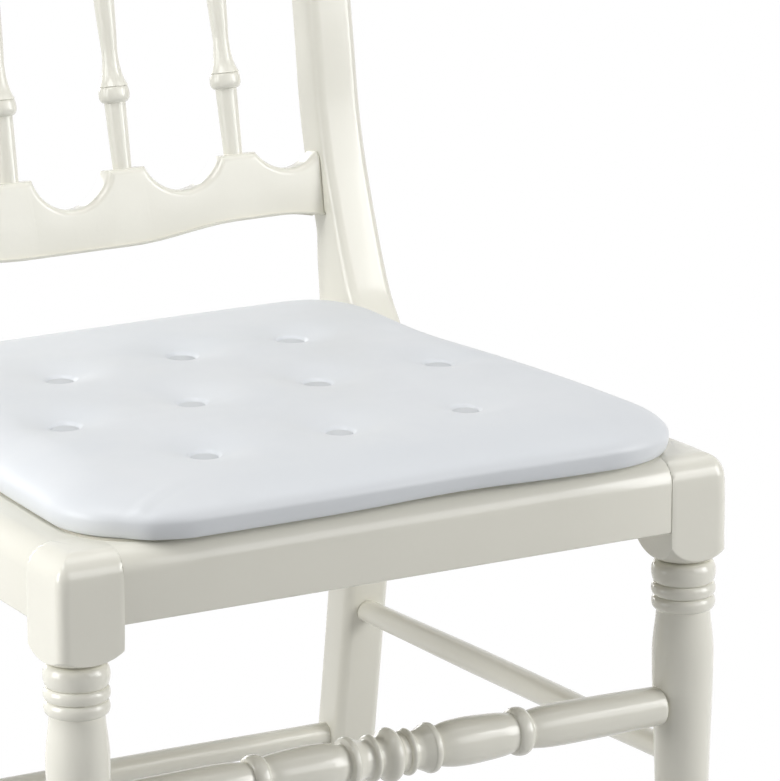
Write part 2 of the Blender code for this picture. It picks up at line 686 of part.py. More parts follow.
def add_stretchers(legs, posts):
    """The turned front stretcher and the three plain round ones."""
    height = seat_top - front_stretcher_drop
    sideways = (0, math.pi / 2, 0)
    stretcher = add_turned("front_stretcher", front_stretcher_profile(leg_axis_x), stretcher_sides,
                           (0, leg_axis_y, height), material=ivory, turn=sideways)
    for side, leg in ((-1, legs[0]), (1, legs[1])):
        room = add_turned(f"front_stretcher_shoulder_{side}", leg_profile(fit_gap), leg_sides,
                          (side * leg_axis_x, leg_axis_y, 0))
        cut(stretcher, room)
        span = sorted((side * (leg_axis_x - 0.024), side * (leg_axis_x - 0.001)))
        join(stretcher, add_rod(f"front_stretcher_tenon_{side}", front_stretcher_tenon_radius, span[0], span[1],
                                stretcher_sides, (0, leg_axis_y, height), sideways))
        span = sorted((side * (leg_axis_x - 0.030), side * (leg_axis_x - 0.001 + fit_gap)))
        cut(leg, add_rod(f"front_stretcher_hole_{side}", front_stretcher_tenon_radius + fit_gap, span[0], span[1],
                         stretcher_sides, (0, leg_axis_y, height), sideways))
    height = seat_top - side_stretcher_drop
    drop = leg_foot - seat_top
    stations = [(drop, post_foot_setback)] + [row[:2] for row in post_stations]
    rear_face = seat_depth + float(smooth([row[0] for row in stations], [row[1] for row in stations],
                                          np.array([-side_stretcher_drop]))[0])
    for side, word, leg, post in ((-1, "left", legs[0], posts[0]), (1, "right", legs[1], posts[1])):
        start = Vector((side * leg_axis_x, leg_axis_y, height))
        end = Vector((side * post_x, rear_face, height))
        along = (end - start).normalized()
        length = (end - start).length
        low, high = 0.0015, length + plain_stretcher_depth
        turn = Vector((0, 0, 1)).rotation_difference(along).to_euler()
        profile = [(0, high), (plain_stretcher_end_radius, high), (plain_stretcher_end_radius, length - 0.004),
                   (plain_stretcher_radius, length * 0.62), (plain_stretcher_radius, length * 0.42),
                   (plain_stretcher_end_radius, 0.022), (plain_stretcher_end_radius, low), (0, low)]
        add_turned(word + "_side_stretcher", profile, small_sides + 2, start, material=ivory, turn=turn)
        hole = plain_stretcher_end_radius + fit_gap
        cut(leg, add_rod(word + "_stretcher_leg_hole", hole, low - fit_gap, 0.05, small_sides + 2, start, turn))
        cut(post, add_rod(word + "_stretcher_post_hole", hole, length - 0.03, high + fit_gap, small_sides + 2,
                          start, turn))
    height = seat_top - rear_stretcher_drop
    middle_y = seat_depth + float(smooth([row[0] for row in stations], [row[1] for row in stations],
                                         np.array([-rear_stretcher_drop]))[0]) + 0.0133
    half = post_inner + plain_stretcher_depth
    profile = [(0, half), (plain_stretcher_end_radius, half), (plain_stretcher_end_radius, post_inner - 0.004),
               (plain_stretcher_radius, 0.05), (plain_stretcher_radius, -0.05),
               (plain_stretcher_end_radius, 0.004 - post_inner), (plain_stretcher_end_radius, -half), (0, -half)]
    add_turned("rear_stretcher", profile, small_sides + 2, (0, middle_y, height), material=ivory, turn=sideways)
    for side, post in ((-1, posts[0]), (1, posts[1])):
        span = sorted((side * (post_inner - 0.01), side * (half + fit_gap)))
        cut(post, add_rod(f"rear_stretcher_hole_{side}", plain_stretcher_end_radius + fit_gap, span[0], span[1],
                          small_sides + 2, (0, middle_y, height), sideways))


def add_seat(legs, rails):
    """The seat panel in its rebate, the four corner blocks under it and their screws."""
    outline = tapered_outline(panel_front, panel_rear, panel_front_half, panel_rear_half, panel_front_round,
                              panel_rear_round, 5)
    panel = add_plate("seat_panel", outline, panel_thickness, (0, 0, panel_bottom + panel_thickness / 2),
                      material=seat_board)
    room = tapered_outline(panel_front - fit_gap, panel_rear + fit_gap, panel_front_half + fit_gap,
                           panel_rear_half + fit_gap, panel_front_round, panel_rear_round, 5)
    rebate_floor = panel_bottom - fit_gap
    rebate = add_plate("seat_rebate", room, 0.02, (0, 0, rebate_floor + 0.01))
    for piece in legs + rails:
        cut(piece, rebate)
    block_top = rebate_floor
    middle = block_top - block_height / 2
    inner_front = rail_step + rail_thickness + fit_gap
    for side, word in ((-1, "left"), (1, "right")):
        def inner_side(y, side=side):
            return front_width / 2 - rail_step - rail_thickness + side_slope * (y - leg_square) - 2 * fit_gap

        leg_edge = front_width / 2 - leg_square - fit_gap
        leg_back = leg_square + fit_gap
        front = [(leg_edge - block_reach, inner_front), (leg_edge, inner_front), (leg_edge, leg_back),
                 (inner_side(leg_back), leg_back), (inner_side(leg_back + block_reach), leg_back + block_reach)]
        back_y_line = rear_rail_front - fit_gap
        corner = min(inner_side(back_y_line), post_inner - fit_gap)
        rear = [(corner, back_y_line), (corner - block_reach, back_y_line),
                (inner_side(back_y_line - block_reach), back_y_line - block_reach)]
        near, far = screw_setback, block_reach * 0.55
        spots = {"front": ((leg_edge - near, leg_back + near * 0.75), (leg_edge - far, inner_front),
                           (inner_side(leg_back + far), leg_back + far), rails[0], -1),
                 "rear": ((corner - near, back_y_line - near * 0.75), (corner - far, back_y_line),
                          (inner_side(back_y_line - far), back_y_line - far), rails[1], 1)}
        for place, shape in (("front", front), ("rear", rear)):
            name = f"{place}_{word}"
            block = add_plate(name + "_corner_block", [(side * x, y) for x, y in shape], block_height,
                              (0, 0, middle), material=bare_wood)
            up, back, sideways, cross_rail, way = spots[place]
            level = block_top - block_height * 0.45
            head = block_top - block_height + screw_head_depth
            add_screw(name + "_panel_screw", (side * up[0], up[1], head), (0, 0, 0), panel_screw_length, block, panel)
            add_screw(name + "_cross_screw", (side * back[0], back[1] - way * rail_screw_start, level),
                      (-way * math.pi / 2, 0, 0), rail_screw_length, block, cross_rail)
            add_screw(name + "_side_screw", (side * (sideways[0] - rail_screw_start), sideways[1], level),
                      (0, side * math.pi / 2, 0), rail_screw_length, block, rails[2 + (side > 0)])


def screw_profile(length):
    """Half section of a pan head screw whose head's underside is at 0 and whose tip points up."""
    return [(0, length), (screw_radius * 0.4, length), (screw_radius, length - 0.004), (screw_radius, 0.0),
            (screw_head_radius, 0.0), (screw_head_radius, -screw_head_height * 0.5),
            (screw_head_radius * 0.6, -screw_head_height), (0, -screw_head_height)]


def add_screw(name, place, turn, length, block, other):
    """A screw, its clearance in the block and in what it holds, and a room for its head."""
    add_turned(name, screw_profile(length), screw_sides, place, material=steel, turn=turn)
    bore, wide = screw_radius + fit_gap, screw_head_radius + fit_gap
    profile = [(0, length + fit_gap), (bore, length + fit_gap), (bore, fit_gap), (wide, fit_gap),
               (wide, -block_reach), (0, -block_reach)]
    room = add_turned(name + "_room", profile, screw_sides, place, turn=turn)
    cut(block, room)
    cut(other, room)


def add_glides():
    """A nylon glide with a pin under each leg."""
    foot_y = seat_depth + post_foot_setback + post_foot_depth / 2
    spots = {"front_left_glide": (-leg_axis_x, leg_axis_y), "front_right_glide": (leg_axis_x, leg_axis_y),
             "rear_left_glide": (-post_x, foot_y), "rear_right_glide": (post_x, foot_y)}
    profile = [(0, glide_height + glide_pin_length), (glide_pin_radius, glide_height + glide_pin_length),
               (glide_pin_radius, glide_height), (glide_radius, glide_height), (glide_radius, 0.0012),
               (glide_radius - 0.0012, 0), (0, 0)]
    for name, (x, y) in spots.items():
        add_turned(name, profile, small_sides + 2, (x, y, 0), material=nylon)


def tape_places():
    """Middle and turn of the four hook and loop strips, each laid across a corner of the cushion."""
    front_x = cushion_front_half - cushion_front_round + tape_reach
    front_y = cushion_front + cushion_front_round - tape_reach
    rear_x = cushion_rear_half - cushion_rear_round + tape_reach
    rear_y = cushion_rear - cushion_rear_round + tape_reach
    across = math.radians(45)
    return {"front_left": (-front_x, front_y, -across), "front_right": (front_x, front_y, across),
            "rear_left": (-rear_x, rear_y, across), "rear_right": (rear_x, rear_y, -across)}


def add_tapes():
    """Hook strips glued on the seat panel and loop strips glued under the cushion's base."""
    for place, (x, y, turn) in tape_places().items():
        for kind, low in (("hook", tape_bottom), ("loop", loop_bottom)):
            length = tape_length if kind == "hook" else tape_length - 0.006
            tape = add_box(f"{place}_{kind}_tape", (x - length / 2, y - tape_width / 2, low),
                           (x + length / 2, y + tape_width / 2, low + tape_thickness), material=tape_white)
            tape.rotation_euler = (0, 0, turn)


def tufts():
    """Places of the sewn buttons: rows of three, four and three."""
    places = []
    for row, count in enumerate((3, 4, 3)):
        y = tuft_first_row + row * tuft_row_pitch
        spacing = tuft_spacing - tuft_taper * row * tuft_row_pitch
        places += [((number - (count - 1) / 2) * spacing, y) for number in range(count)]
    return places


def cushion_rows(inset):
    """Distances from the front of the cushion's rows of points, closer along the round corners."""
    turn = np.radians([0, 30, 55, 75, 90])
    front = cushion_front + inset + (cushion_front_round - inset) * (1 - np.cos(turn))
    rear = cushion_rear - inset - (cushion_rear_round - inset) * (1 - np.cos(turn[::-1]))
    return np.concatenate([front, np.linspace(front[-1], rear[0], cushion_straight_rows + 1)[1:-1], rear])


def cushion_point(u, row, inset):
    """Plan position at a share u of the half width, on outlines that lie inside one another."""
    y = float(cushion_rows(inset)[row])
    half = half_width_at(y, cushion_front + inset, cushion_rear - inset, cushion_front_half - inset,
                         cushion_rear_half - inset, cushion_front_round - inset, cushion_rear_round - inset)
    along = 2 * (y - cushion_front) / (cushion_rear - cushion_front) - 1
    return u * (half - cushion_pull_in * (1 - along ** 2)), y - along * cushion_pull_in * (1 - u ** 2)


def cushion_height(u, along, x, y):
    """Height over the cushion's edge: a crown that falls to the sides, less a dimple at each button."""
    crown = cushion_crown * (1 - abs(u) ** 3) * (1 - abs(along) ** 3)
    dimple = max(math.exp(-((x - a) ** 2 + (y - b) ** 2) / tuft_reach ** 2) for a, b in tufts())
    return crown - min(tuft_depth, crown) * dimple


def cushion_surface(x, y):
    """Height of the cushion's top at a place in plan."""
    half = half_width_at(y, cushion_front, cushion_rear, cushion_front_half, cushion_rear_half,
                         cushion_front_round, cushion_rear_round)
    along = 2 * (y - cushion_front) / (cushion_rear - cushion_front) - 1
    return cushion_bottom + cushion_side_height + cushion_height(x / half, along, x, y)


def add_cushion():
    """The padded cushion: crown, sides drawn in between the corners, and a pocket for each button."""
    count = len(cushion_rows(0))
    shape = bmesh.new()
    bmesh.ops.create_grid(shape, x_segments=cushion_columns, y_segments=count - 1, size=1.0)
    place = {v: (v.co.x, round((v.co.y + 1) / 2 * (count - 1))) for v in shape.verts}
    for vertex, (u, row) in place.items():
        x, y = cushion_point(u, row, cushion_edge_round)
        vertex.co = (x, y, cushion_surface(x, y) if not vertex.is_boundary else cushion_bottom + cushion_side_height)
    loop = [edge for edge in shape.edges if edge.is_boundary]
    for angle in (40, 90, 140, 180):
        grown = bmesh.ops.extrude_edge_only(shape, edges=loop)["geom"]
        inset = cushion_edge_round * (1 - math.sin(math.radians(angle)))
        height = cushion_bottom + cushion_side_height / 2 * (1 + math.cos(math.radians(angle)))
        fresh = [item for item in grown if isinstance(item, bmesh.types.BMVert)]
        for vertex in fresh:
            source = min((e.other_vert(vertex) for e in vertex.link_edges if e.other_vert(vertex) in place),
                         key=lambda v: (v.co - vertex.co).length)
            place[vertex] = place[source]
        for vertex in fresh:
            vertex.co = (*cushion_point(*place[vertex], inset), height)
        loop = [item for item in grown if isinstance(item, bmesh.types.BMEdge) and item.is_boundary]
    bmesh.ops.contextual_create(shape, geom=loop)
    bmesh.ops.recalc_face_normals(shape, faces=shape.faces)
    mesh = bpy.data.meshes.new("cushion")
    shape.to_mesh(mesh)
    shape.free()
    cushion = add_object("cushion", mesh, parent=chair_origin, material=vinyl)
    for number, (x, y) in enumerate(tufts()):
        floor = cushion_surface(x, y) - button_height - button_sink
        cut(cushion, add_rod(f"tuft_pocket_{number}", button_radius + 2 * fit_gap, 0, 0.02, small_sides, (x, y, floor)))
        dome = [(0, button_height), (button_radius * 0.55, button_height * 0.86),
                (button_radius * 0.88, button_height * 0.55), (button_radius, button_height * 0.22),
                (button_radius * 0.9, 0), (0, 0)]
        add_turned(f"tuft_button_{number + 1:02d}", dome, small_sides, (x, y, floor + fit_gap), material=vinyl)
    base, room = (tapered_outline(cushion_front + base_inset - spare, cushion_rear - base_inset + spare,
                                  cushion_front_half - base_inset + spare, cushion_rear_half - base_inset + spare,
                                  cushion_front_round - base_inset, cushion_rear_round - base_inset, 4)
                  for spare in (0.0, fit_gap))
    add_plate("cushion_base", base, base_thickness, (0, 0, base_bottom + base_thickness / 2), material=bare_wood)
    top = base_bottom + base_thickness + fit_gap
    cut(cushion, add_plate("cushion_base_room", room, 0.02, (0, 0, top - 0.01)))


def stand_on_origin():
    """Moves the whole chair so that the origin lies under the middle of its box, on the floor."""
    graph = bpy.context.evaluated_depsgraph_get()
    graph.update()
    reach = []
    for piece in parts.objects:
        if piece.type == "MESH":
            seen = piece.evaluated_get(graph)
            reach += [(seen.matrix_world @ v.co).y for v in seen.data.vertices]
    chair_origin.location.y = -(min(reach) + max(reach)) / 2


start_scene()
ivory = make_material("ivory_lacquer", (0.80, 0.78, 0.69), 0.18)
vinyl = make_material("white_vinyl", (0.83, 0.85, 0.87), 0.38)
seat_board = make_material("seat_board", (0.72, 0.66, 0.54), 0.6)
bare_wood = make_material("bare_wood", (0.62, 0.47, 0.30), 0.65)
steel = make_material("zinc_steel", (0.62, 0.62, 0.60), 0.35, 1.0)
nylon = make_material("white_nylon", (0.72, 0.72, 0.69), 0.5)
tape_white = make_material("tape", (0.75, 0.74, 0.68), 0.9)

chair_origin = add_empty("chair_origin", (0, 0, 0))
back_panel = add_empty("back_panel", (0, back_y, seat_top + back_panel_height), -back_rake)

legs = add_front_legs()
posts = add_rear_posts()
front_rail, front_mortises = add_cross_rail("front_seat_rail", rail_step, rail_step + rail_thickness,
                                            front_width / 2 - leg_square, "front")
rear_rail, rear_mortises = add_cross_rail("rear_seat_rail", rear_rail_front, rear_rail_front + rail_thickness,
                                          post_inner, "rear")
for leg, mortise in zip(legs, front_mortises):
    cut(leg, mortise)
for post, mortise in zip(posts, rear_mortises):
    cut(post, mortise)
side_rails = add_side_rails(legs, posts)
lower_back_rail = add_lower_back_rail(posts)
crest_rail = add_crest_rail()
add_spindles(lower_back_rail, crest_rail)
add_stretchers(legs, posts)
add_seat(legs, [front_rail, rear_rail] + side_rails)
add_glides()
add_tapes()
add_cushion()
stand_on_origin()
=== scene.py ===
# %% [markdown]
# # A ballroom chair in ivory lacquer
#
# The real chair is beech that was turned, sawn and moulded, then sprayed with several coats of ivory
# lacquer until every edge went soft and every joint became a fine painted line. A loose cushion in
# white vinyl lies on it, pulled down by ten covered buttons. This notebook dresses the plain solid
# model of that chair: each wooden piece is worked out again as a fine surface, the cushion gets its
# crown and tufts, and each finish becomes a procedural material.

# %% Load the plain model
import math

import bmesh
import bpy
import numpy as np
from mathutils import Matrix, Vector


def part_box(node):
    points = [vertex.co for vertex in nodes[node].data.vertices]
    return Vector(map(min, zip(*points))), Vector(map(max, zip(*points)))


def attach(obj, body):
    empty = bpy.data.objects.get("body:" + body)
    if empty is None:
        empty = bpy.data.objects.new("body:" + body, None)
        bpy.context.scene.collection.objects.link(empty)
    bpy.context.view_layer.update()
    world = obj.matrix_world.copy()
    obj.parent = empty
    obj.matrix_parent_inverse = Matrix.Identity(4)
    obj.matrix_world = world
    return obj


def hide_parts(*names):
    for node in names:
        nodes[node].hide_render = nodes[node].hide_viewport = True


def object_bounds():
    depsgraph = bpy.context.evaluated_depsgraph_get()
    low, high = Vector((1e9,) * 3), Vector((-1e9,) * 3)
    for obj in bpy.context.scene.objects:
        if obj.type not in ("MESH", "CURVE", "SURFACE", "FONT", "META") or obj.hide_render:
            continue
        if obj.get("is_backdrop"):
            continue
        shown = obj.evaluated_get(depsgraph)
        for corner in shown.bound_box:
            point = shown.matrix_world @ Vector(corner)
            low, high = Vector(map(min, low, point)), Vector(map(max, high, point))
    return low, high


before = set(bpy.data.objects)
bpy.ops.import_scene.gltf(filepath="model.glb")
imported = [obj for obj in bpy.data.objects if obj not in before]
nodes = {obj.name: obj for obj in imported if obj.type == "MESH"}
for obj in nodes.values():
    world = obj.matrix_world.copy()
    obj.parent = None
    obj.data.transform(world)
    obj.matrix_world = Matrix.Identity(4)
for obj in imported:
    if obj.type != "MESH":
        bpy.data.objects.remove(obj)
cad_box = [list(corner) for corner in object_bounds()]
print("solids in the plain model:", len(nodes))

# %% [markdown]
# Lengths along Y are counted from the front face of the front legs, and heights from the top of the
# seat frame, because that is how a chair maker would mark them out. Two numbers bring them into the
# model's frame: the place of that front face and the height of the seat frame's top.

# %% The chair's own measures
front_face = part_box("front_left_leg")[0].y
seat_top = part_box("front_left_leg")[1].z
front_width, rear_width, seat_depth = 0.400, 0.372, 0.3175
leg_square, post_width = 0.0366, 0.028
leg_x = (front_width - leg_square) / 2
post_x = (rear_width - post_width) / 2
inner_post = rear_width / 2 - post_width
side_slope = (rear_width - front_width) / 2 / (seat_depth - leg_square)
both_sides = ((-1, "left"), (1, "right"))
print("seat frame top at", round(seat_top, 4), "m, front face at y =", round(front_face, 4), "m")


def stacked(*parts):
    """Numbers or arrays side by side, as points."""
    return np.stack(np.broadcast_arrays(*parts), axis=-1)


def chair_points(x, y, z):
    """Points (x, front_face + y, seat_top + z) from the chair's own measures."""
    return stacked(x, front_face + y, seat_top + z)


# %% [markdown]
# Every surface below is a grid of points, rows by columns. One function turns such a grid into a
# mesh: the columns close into a ring, the two end rings are closed with a fan, and if the volume
# comes out negative the faces are turned round, so that they always point outwards.


# %% From a grid of points to a piece
def ring_mesh(name, grid, sharp=38):
    """Closed mesh from a grid of shape (rows, columns, 3): quads between neighbours, columns joined
    in a ring, and a fan from the middle of the first and of the last row. Edges are sharp past an
    angle in degrees."""
    rows, columns, _ = grid.shape
    here = np.arange(rows * columns).reshape(rows, columns)
    beside = np.roll(here, -1, axis=1)
    quads = np.stack([here[:-1], beside[:-1], beside[1:], here[1:]], axis=-1).reshape(-1, 4)
    top = stacked(beside[0], here[0], rows * columns)
    bottom = stacked(here[-1], beside[-1], rows * columns + 1)
    ends = np.stack([grid[0].mean(axis=0), grid[-1].mean(axis=0)])
    points = np.concatenate([grid.reshape(-1, 3), ends])
    triangles = np.concatenate([quads[:, [0, 1, 2]], quads[:, [0, 2, 3]], top, bottom])
    volume = np.linalg.det(points[triangles] - points.mean(axis=0)).sum() / 6
    faces = quads.tolist() + top.tolist() + bottom.tolist()
    if volume < 0:
        faces = [face[::-1] for face in faces]
    mesh = bpy.data.meshes.new(name)
    mesh.from_pydata(points.tolist(), [], faces)
    mesh.shade_smooth()
    mesh.set_sharp_from_angle(angle=math.radians(sharp))
    return mesh


def add_object(name, data):
    """A new object in the scene."""
    thing = bpy.data.objects.new(name, data)
    bpy.context.scene.collection.objects.link(thing)
    return thing


def add_piece(mesh, body, material, replaced):
    """Puts a finished mesh in the scene, on its body, in place of the solid that it stands for."""
    piece = add_object(mesh.name, mesh)
    mesh.materials.append(material)
    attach(piece, body)
    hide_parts(replaced)
    print(f"{mesh.name}: {len(mesh.polygons)} faces")
    return piece


print("helpers ready: ring_mesh, add_object, add_piece")

# %% [markdown]
# ## The finishes
#
# Sprayed lacquer is a hard, clear-topped film. Three things keep it from looking like plastic: a
# colour that is not quite even, a gloss that varies a little, and a very shallow waviness that
# painters call orange peel. All three are noise textures on the object's own coordinates, so they
# stay with the wood from every side. The other finishes are made in the same way.


# %% Nodes: noise, colour, gloss and relief
def fill(tree, node, inputs):
    """Sets a node's inputs, by name or number: another node's output is linked, a value is set."""
    for key, value in inputs.items():
        if isinstance(value, bpy.types.NodeSocket):
            tree.links.new(value, node.inputs[key])
        else:
            node.inputs[key].default_value = value
    return node


def add_node(tree, kind, inputs={}):
    """A new shader node of a kind, with its inputs set."""
    return fill(tree, tree.nodes.new(f"ShaderNode{kind}"), inputs)


def noise(tree, scale, detail=2.0, rough=0.5, stretch=None):
    """Noise on the object's own coordinates, if wanted stretched along an axis."""
    place = add_node(tree, "TexCoord").outputs["Object"]
    if stretch:
        place = add_node(tree, "Mapping", {"Vector": place, "Scale": stretch}).outputs["Vector"]
    inputs = {"Vector": place, "Scale": scale, "Detail": detail, "Roughness": rough}
    return add_node(tree, "TexNoise", inputs).outputs["Fac"]


def ramp(tree, source, low, high, start=0.35, end=0.65):
    """Colour that runs from low to high as a noise goes from start to end."""
    colours = add_node(tree, "ValToRGB", {"Fac": source})
    for number, (place, tone) in enumerate(((start, low), (end, high))):
        colours.color_ramp.elements[number].position = place
        colours.color_ramp.elements[number].color = (*tone, 1)
    return colours.outputs["Color"]


def scaled(tree, source, low, high, start=0.3, end=0.7):
    """A number that runs from low to high as a noise goes from start to end."""
    limits = {"From Min": start, "From Max": end, "To Min": low, "To Max": high}
    return add_node(tree, "MapRange", {"Value": source} | limits).outputs["Result"]


def bump(tree, source, distance, strength=1.0, before=None):
    """Relief of a real depth in metres, on top of another relief if there is one."""
    inputs = {"Height": source, "Distance": distance, "Strength": strength}
    return add_node(tree, "Bump", inputs | ({"Normal": before} if before else {})).outputs["Normal"]


print("helpers ready: noise, ramp, scaled, bump")

# %% Lacquer, vinyl, wood, metal, nylon and woven tape
def new_material(name):
    """A new material and its node tree."""
    material = bpy.data.materials.new(name)
    material.use_nodes = True
    return material, material.node_tree


def finished(material, colour, gloss, relief, others={}):
    """Gives colour, gloss, relief and other values to the material's Principled shader."""
    inputs = {"Base Color": colour, "Roughness": gloss, "Normal": relief} | others
    fill(material.node_tree, material.node_tree.nodes["Principled BSDF"], inputs)
    return material


def lacquer_finish():
    """Ivory lacquer: gloss film with orange peel over a faint unevenness of colour."""
    material, tree = new_material("ivory_lacquer_finish")
    tone = ramp(tree, noise(tree, 7.0, 3.0), (0.770, 0.755, 0.670), (0.800, 0.785, 0.700))
    gloss = scaled(tree, noise(tree, 30.0), 0.20, 0.27)
    peel = bump(tree, noise(tree, 320.0, 1.0), 0.00003)
    slow = bump(tree, noise(tree, 45.0, 1.0), 0.00006, before=peel)
    coat = {"IOR": 1.48, "Coat Weight": 0.22, "Coat Roughness": 0.08}
    return finished(material, tone, gloss, slow, coat)


def vinyl_finish(name, low, high):
    """Vinyl cover: satin, with a calendered grain and a faint cool unevenness between two tones."""
    material, tree = new_material(name)
    tone = ramp(tree, noise(tree, 11.0, 3.0), low, high)
    gloss = scaled(tree, noise(tree, 60.0), 0.36, 0.46)
    place = add_node(tree, "TexCoord").outputs["Object"]
    cells = add_node(tree, "TexVoronoi", {"Vector": place, "Scale": 1400.0}).outputs["Distance"]
    soft = bump(tree, noise(tree, 26.0), 0.00035, before=bump(tree, cells, 0.00003, 0.6))
    return finished(material, tone, gloss, soft, {"IOR": 1.45})


def wood_finish(name, low, high, roughness):
    """Bare timber, or a board darkened into painted shade: fibres that run along Y as a strongly
    stretched noise.
    """
    material, tree = new_material(name)
    fibre = noise(tree, 60.0, 5.0, 0.65, (1.0, 0.06, 1.0))
    gloss = scaled(tree, fibre, roughness - 0.05, roughness + 0.08)
    return finished(material, ramp(tree, fibre, low, high, 0.3, 0.7), gloss, bump(tree, fibre, 0.00008))


def speckled_finish(name, tone, low, high, gloss, relief, others={}):
    """Metal, nylon or tape: colour, gloss and relief each follow a noise of their own, given as
    (scale, detail), with the two limits of the gloss or the depth of the relief after them. A gloss
    may also be one number."""
    material, tree = new_material(name)
    if isinstance(gloss, tuple):
        gloss = scaled(tree, noise(tree, *gloss[:2]), *gloss[2:])
    relief = bump(tree, noise(tree, *relief[:2]), relief[2])
    return finished(material, ramp(tree, noise(tree, *tone), low, high), gloss, relief, others)


lacquer = lacquer_finish()
vinyl = vinyl_finish("white_vinyl_finish", (0.695, 0.720, 0.748), (0.720, 0.741, 0.764))
# painted shade: the buttons' vinyl is the cushion's vinyl made darker, for the shade in their sunken
# wells
button_vinyl_painted_shade = vinyl_finish("button_painted_shade_finish", (0.580, 0.603, 0.626), (0.605, 0.623, 0.642))
# painted shade: the seat board is coloured a dull dark olive, standing for the shadow under the
# cushion's edge
seat_board_painted_shade = wood_finish("board_painted_shade_finish", (0.42, 0.40, 0.33), (0.50, 0.48, 0.40), 0.5)
bare_wood = wood_finish("bare_beech", (0.52, 0.37, 0.22), (0.66, 0.50, 0.33), 0.62)
steel = speckled_finish("zinc_plated_steel", (120.0, 3.0), (0.55, 0.55, 0.52), (0.68, 0.67, 0.62),
                        (300.0, 3.0, 0.28, 0.42), (2500.0, 2.0, 0.00001), {"Metallic": 1.0})
nylon = speckled_finish("moulded_nylon", (90.0, 4.0), (0.66, 0.66, 0.63), (0.74, 0.74, 0.71),
                        (400.0, 3.0, 0.42, 0.60), (900.0, 2.0, 0.00004))
tape = speckled_finish("hook_and_loop_strip", (700.0, 3.0), (0.62, 0.61, 0.55), (0.80, 0.79, 0.72),
                       0.92, (1500.0, 3.0, 0.0003))
finishes = (lacquer, vinyl, button_vinyl_painted_shade, seat_board_painted_shade, bare_wood, steel, nylon, tape)
print("finishes made:", ", ".join(material.name for material in finishes))

# %% [markdown]
# The small inner parts already have the right shape in the plain model: corner blocks, screws,
# glides and tape. They only need their finish, so their material slot gets the new material.

# %% Finish the pieces that keep their shape
kept = {"corner_block": bare_wood, "cushion_base": bare_wood, "screw": steel, "glide": nylon,
        "tape": tape}
for name, node in nodes.items():
    for word, material in kept.items():
        if word in name:
            node.data.materials.clear()
            node.data.materials.append(material)
print("solids that keep their shape:", sum(any(word in name for word in kept) for name in nodes))


# %% [markdown]
# ## Curves that the lathe and the saw follow
#
# A turned leg is described by the radius at a few heights. Between them the eye expects a fair
# curve without bumps, which a monotone cubic gives: it never swings past its own points. Beads are
# half ellipses between two grooves.

# %% Fair curves and beads
def fair(known, values, wanted):
    """Monotone cubic through the known points. Each tangent is the weighted harmonic mean of the
    slopes beside it, or zero where they change sign."""
    x, y, wanted = (np.asarray(a, float) for a in (known, values, wanted))
    step = np.diff(x)
    slope = np.diff(y) / step
    tangent = np.concatenate([slope[:1], np.zeros(len(slope) - 1), slope[-1:]])
    same = slope[:-1] * slope[1:] > 0
    wide, narrow = 2 * step[1:] + step[:-1], step[1:] + 2 * step[:-1]
    below = np.where(same, slope[:-1] * narrow + slope[1:] * wide, 1.0)
    tangent[1:-1] = np.where(same, (wide + narrow) * slope[:-1] * slope[1:] / below, 0.0)
    cell = np.clip(np.searchsorted(x, wanted) - 1, 0, len(step) - 1)
    t = (wanted - x[cell]) / step[cell]
    a, b, rise = tangent[cell] * step[cell], tangent[cell + 1] * step[cell], np.diff(y)[cell]
    return y[cell] + a * t + (3 * rise - 2 * a - b) * t ** 2 + (a + b - 2 * rise) * t ** 3


def bead(start, end, groove_start, groove_end, radius, steps=22):
    """Half ellipse from start to end along the axis: radius = groove + (radius - groove) *
    sqrt(1 - t^2) with t from -1 to 1, and the groove's radius changing evenly between the ends."""
    t = np.sin(np.linspace(-math.pi / 2, math.pi / 2, steps))
    groove = groove_start + (groove_end - groove_start) * (t + 1) / 2
    return start + (end - start) * (t + 1) / 2, groove + (radius - groove) * np.sqrt(1 - t ** 2)


def joined(*parts):
    """Several (places, radii) runs one after the other."""
    return np.concatenate([p[0] for p in parts]), np.concatenate([p[1] for p in parts])


def quarter(steps):
    """Angles of a quarter circle, from 0 to 90 degrees."""
    return np.radians(np.linspace(0, 90, steps))


def turned(along, radii, origin, axis, across, columns=64):
    """Grid of a turned piece: a circle of each radius, square to the axis, at its place along it."""
    origin, axis, across = (np.asarray(v, float) for v in (origin, axis, across))
    third = np.cross(axis, across)
    angle = np.linspace(0, 2 * math.pi, columns, endpoint=False)
    ring = np.cos(angle)[:, None] * across + np.sin(angle)[:, None] * third
    return origin + along[:, None, None] * axis + radii[:, None, None] * ring


def wooden(name, grid, replaced, sharp=38):
    """A lacquered wooden piece of the frame, from its grid."""
    add_piece(ring_mesh(name, grid, sharp), "frame", lacquer, replaced)


print("helpers ready: fair, bead, joined, turned, wooden")

# %% [markdown]
# ## The front legs
#
# A front leg starts as a square blank. The turner leaves the top square, where the rails join, and
# cuts a shoulder with the skew chisel: the place where it runs out through the four flat sides
# gives the pointed tongues under the block. Worked out in polar form, the leg is one function of
# angle and height: the smaller of the square's radius and the turning's radius.


